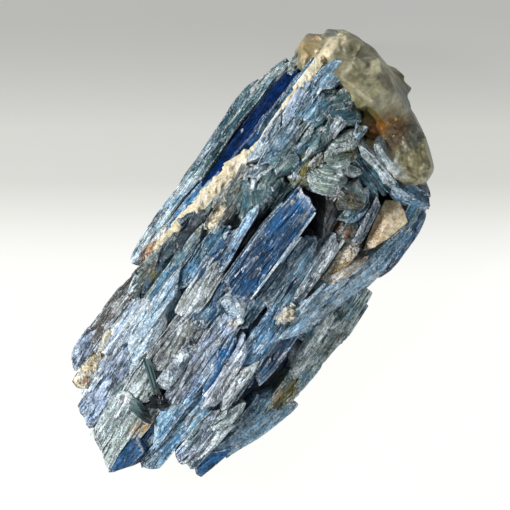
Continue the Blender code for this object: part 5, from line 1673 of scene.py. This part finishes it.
def quartz():
    """Smoky olive-grey quartz, cloudy inside, stained by rust and earth."""
    material, w, surface = new_material("quartz")
    place = w.group(PLACE, Wander=3.2)
    clouds = w.noise(place.outputs["Place"], 0.22, 4.0, 0.6)
    grains = w.noise(place.outputs["Place"], 1.3, 4.0, 0.62)
    veils = w.noise(place.outputs["Wandered"], 0.34, 3.0, 0.5)
    depth = w.math("ADD", w.math("MULTIPLY", clouds, 0.6), w.math("MULTIPLY", veils, 0.4))
    colour = w.blend(w.step(depth, 0.36, 0.62), QUARTZ_DEEP, QUARTZ_MILKY)
    colour = w.stained(colour, place.outputs["Wandered"], [
        ((x, y, 24.0), reach, tint, amount) for x, y, *reach, tint, amount in HEAD_STAINS])
    veil = w.math("MULTIPLY", w.step(grains, 0.56, 0.74), w.step(clouds, 0.42, 0.6))
    colour = w.blend(w.math("MULTIPLY", veil, 0.35), colour, TONES["pale"])
    spot = w.add("SeparateXYZ", Vector=place.outputs["Place"])
    rough_part = w.math("MAXIMUM", w.step(spot.outputs["Y"], -4.0, -10.0, 0.4, 1.0),
                        w.step(spot.outputs["Z"], 23.0, 15.0))
    gritty = w.math("MULTIPLY", w.step(grains, 0.3, 0.7, -0.48, 0.18), rough_part)
    light = w.math("MULTIPLY", w.math("ADD", gritty, 1.0), w.step(veils, 0.4, 0.56, 0.84, 1.12))
    w.fill(surface, Base_Color=w.shade(colour, light), Roughness=w.step(grains, 0.3, 0.7, 0.28, 0.52),
           IOR=QUARTZ_IOR, Subsurface_Weight=0.12, Subsurface_Radius=(1.0, 0.9, 0.7), Subsurface_Scale=0.0012)
    w.bump(surface, w.math("MULTIPLY_ADD", grains, 0.5, clouds), 0.3, 0.0003)
    return material


def vein_stone():
    """Dull cream vein mineral with grey and tan grains."""
    material, w, surface = new_material("vein stone")
    place = w.group(PLACE, Wander=2.0)
    clouds = w.noise(place.outputs["Place"], 0.5, 4.0, 0.6)
    grains = w.noise(place.outputs["Place"], 2.4, 3.0, 0.6)
    colour = w.blend(w.step(clouds, 0.4, 0.66), TONES["cream"], VEIN_WHITE)
    colour = w.blend(w.math("MULTIPLY", w.step(clouds, 0.5, 0.36), 0.4), colour, TONES["beige"])
    colour = w.blend(w.math("MULTIPLY", w.step(grains, 0.54, 0.7), 0.7), colour, TONES["tan"])
    colour = w.blend(w.step(grains, 0.28, 0.2, 0.0, 0.6), colour, TONES["brown"])
    w.fill(surface, Base_Color=colour, Roughness=0.72)
    w.bump(surface, grains, 0.8, 0.0004)
    return material


PEACH_STAINS = (
    # x, y, reach, tint, amount
    (24.0, -18.4, 3.0, "rust", 0.35), (29.5, -22.2, 2.4, "cream", 0.6),
    (31.0, -17.0, 2.2, "olive", 0.35), (20.6, -18.8, 1.6, "brown", 0.5),
)


def peach_glass():
    """The wedge's peach and tan quartz, glassy and clouded."""
    material, w, surface = new_material("peach quartz")
    place = w.group(PLACE, Wander=2.4)
    clouds = w.noise(place.outputs["Place"], 0.45, 4.0, 0.6)
    grains = w.noise(place.outputs["Place"], 1.9, 3.0, 0.6)
    colour = w.blend(w.step(clouds, 0.38, 0.64), PEACH_DEEP, PEACH_MILKY)
    colour = w.stained(colour, place.outputs["Wandered"], [
        ((x, y, 20.0), (reach, reach * 0.6, 30.0), tint, amount)
        for x, y, reach, tint, amount in PEACH_STAINS])
    colour = w.shade(colour, w.step(grains, 0.25, 0.8, 0.7, 1.3))
    w.fill(surface, Base_Color=colour, Roughness=w.step(grains, 0.3, 0.7, 0.2, 0.42), IOR=QUARTZ_IOR,
           Subsurface_Weight=0.3, Subsurface_Radius=(1.0, 0.7, 0.4), Subsurface_Scale=0.001)
    w.bump(surface, w.math("ADD", grains, clouds), 0.5, 0.0003)
    return material


def dark_stone():
    """Black to teal-green crystal with a few painted glints along its cleavage lines."""
    material, w, surface = new_material("dark crystal")
    place = w.group(PLACE, Wander=1.0)
    fibres = w.group(FIBRES)
    low = w.step(w.add("SeparateXYZ", Vector=place.outputs["Wandered"]).outputs["Y"], 4.6, 1.6)
    colour = w.blend(w.math("MULTIPLY", low, 0.85), w.attribute("tone", "Color"), TONES["black"])
    # Painted glints: pale flakes along the cleavage.
    flakes = w.step(fibres.outputs["Flakes"], 0.64, 0.74)
    colour = w.blend(w.math("MULTIPLY", flakes, 0.4), colour, TONES["pale"])
    fine = fibres.outputs["Fine"]
    w.fill(surface, Base_Color=colour, Roughness=w.step(fine, 0.3, 0.7, 0.18, 0.42))
    w.bump(surface, fine, 0.7, 0.0002)
    return material


# ---------------------------------------------------------------- putting it together

def dress(piece, material, slot, *nodes):
    """Gives a piece its surface, hangs it on the root body and hides the solids it stands for."""
    piece.data.materials.clear()
    piece.data.materials.append(material)
    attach(piece, "root")
    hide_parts(*nodes)


def clear_patterns():
    """Removes the shapes that were only copied."""
    for pattern in list(patterns.objects):
        throw_away(pattern)
    bpy.data.collections.remove(patterns)


bundle = make_bundle()
sheaf = make_sheaf()
broad_crystal, slender_crystal = make_dark_crystals()
crown = make_head()
vein = make_vein()
wedge = make_wedge()
clear_patterns()

kyanite_surface = kyanite("kyanite", 0.35)
sheaf_surface = kyanite("kyanite of the sheaf", 0.08)
dark_surface = dark_stone()
for part in bundle:
    dress(part, kyanite_surface, "kyanite_blue", "kyanite_bundle")
dress(sheaf, sheaf_surface, "kyanite_navy", "kyanite_back_sheaf")
dress(broad_crystal, dark_surface, "dark_green_crystal", "dark_prism_broad")
dress(slender_crystal, dark_surface, "grey_green_crystal", "dark_prism_slender")
dress(crown, quartz(), "quartz_olive_grey", "quartz_head")
dress(vein, vein_stone(), "vein_cream", "cream_vein")
dress(wedge, peach_glass(), "quartz_tan", "quartz_wedge")


# ---------------------------------------------------------------- floor, light and camera

VIEW_TURN = 55.0  # how far the camera is turned about the specimen
VIEW_HEIGHT = 1.02
LENS, SENSOR = 296.5, 36.0
CENTRE = (0.0032, 0.0019)
UP = (math.sin(math.radians(VIEW_TURN)), math.cos(math.radians(VIEW_TURN)))
FLOOR_SIZE, FLOOR_DROP = 6.0, 0.00005
FLOOR_GREYS = ((0.21, 229), (0.34, 214), (0.62, 209))  # how far up the ramp, and the grey there
FLOOR_GLOW = 0.97


def make_floor():
    """A pale floor that goes from grey at the top of the view to white at its foot, lit by its own painted
    glow so that it shows almost no shadow.
    """
    bpy.ops.mesh.primitive_plane_add(size=FLOOR_SIZE, location=(0, 0, -FLOOR_DROP))
    floor = bpy.context.object
    floor.name = "floor"
    bpy.ops.object.transform_apply(location=True)
    material, w, surface = new_material("floor")
    here = w.add("TexCoord").outputs["Object"]
    upward = w.vector("DOT_PRODUCT", here, (*UP, 0.0))
    ramp = w.add("ValToRGB", Fac=w.step(upward, -0.006, 0.064))
    ramp.color_ramp.elements[0].color = (1.0, 1.0, 0.965, 1.0)
    ramp.color_ramp.elements[1].color = (*srgb(176, 177, 172), 1.0)
    for place, grey in FLOOR_GREYS:
        ramp.color_ramp.elements.new(place).color = (*srgb(grey, grey, grey - 5), 1.0)
    glow = w.blend(w.step(w.vector("LENGTH", here), 0.086, 0.22), ramp.outputs[0], srgb(226, 227, 223))
    # Painted light: the floor glows from its emission over a near-black base, so shadows barely show on it.
    w.fill(surface, Base_Color=(0.06, 0.06, 0.06), Emission_Color=glow, Emission_Strength=FLOOR_GLOW,
           Roughness=0.9, Specular_IOR_Level=0.0)
    floor.data.materials.append(material)


def soft_box(name, direction, distance, size, power):
    """A square soft light that looks at the specimen."""
    lamp = bpy.data.lights.new(name, "AREA")
    lamp.shape = "SQUARE"
    lamp.size = size
    lamp.energy = power
    light = bpy.data.objects.new(name, lamp)
    bpy.context.scene.collection.objects.link(light)
    light.location = Vector(direction).normalized() * distance
    light.rotation_euler = (-light.location).to_track_quat("-Z", "Y").to_euler()


def make_stage():
    """Floor, lights, surroundings and camera."""
    make_floor()
    soft_box("key", (-0.35, 0.75, 0.68), 1.1, 0.22, 12.5)
    soft_box("fill", (-0.2, -0.9, 0.5), 1.1, 0.7, 3.8)
    world = bpy.data.worlds.new("studio")
    world.use_nodes = True
    world.node_tree.nodes["Background"].inputs["Color"].default_value = (0.95, 0.98, 1.0, 1.0)
    world.node_tree.nodes["Background"].inputs["Strength"].default_value = 0.28
    bpy.context.scene.world = world
    camera_data = bpy.data.cameras.new("camera")
    camera_data.lens = LENS
    camera_data.sensor_width = SENSOR
    camera_data.clip_start = 0.01
    camera = bpy.data.objects.new("camera", camera_data)
    bpy.context.scene.collection.objects.link(camera)
    camera.location = (*CENTRE, VIEW_HEIGHT)
    camera.rotation_euler = (0.0, 0.0, math.radians(-VIEW_TURN))
    bpy.context.scene.camera = camera
    bpy.context.scene.view_settings.view_transform = "Standard"


make_stage()
bpy.context.view_layer.update()
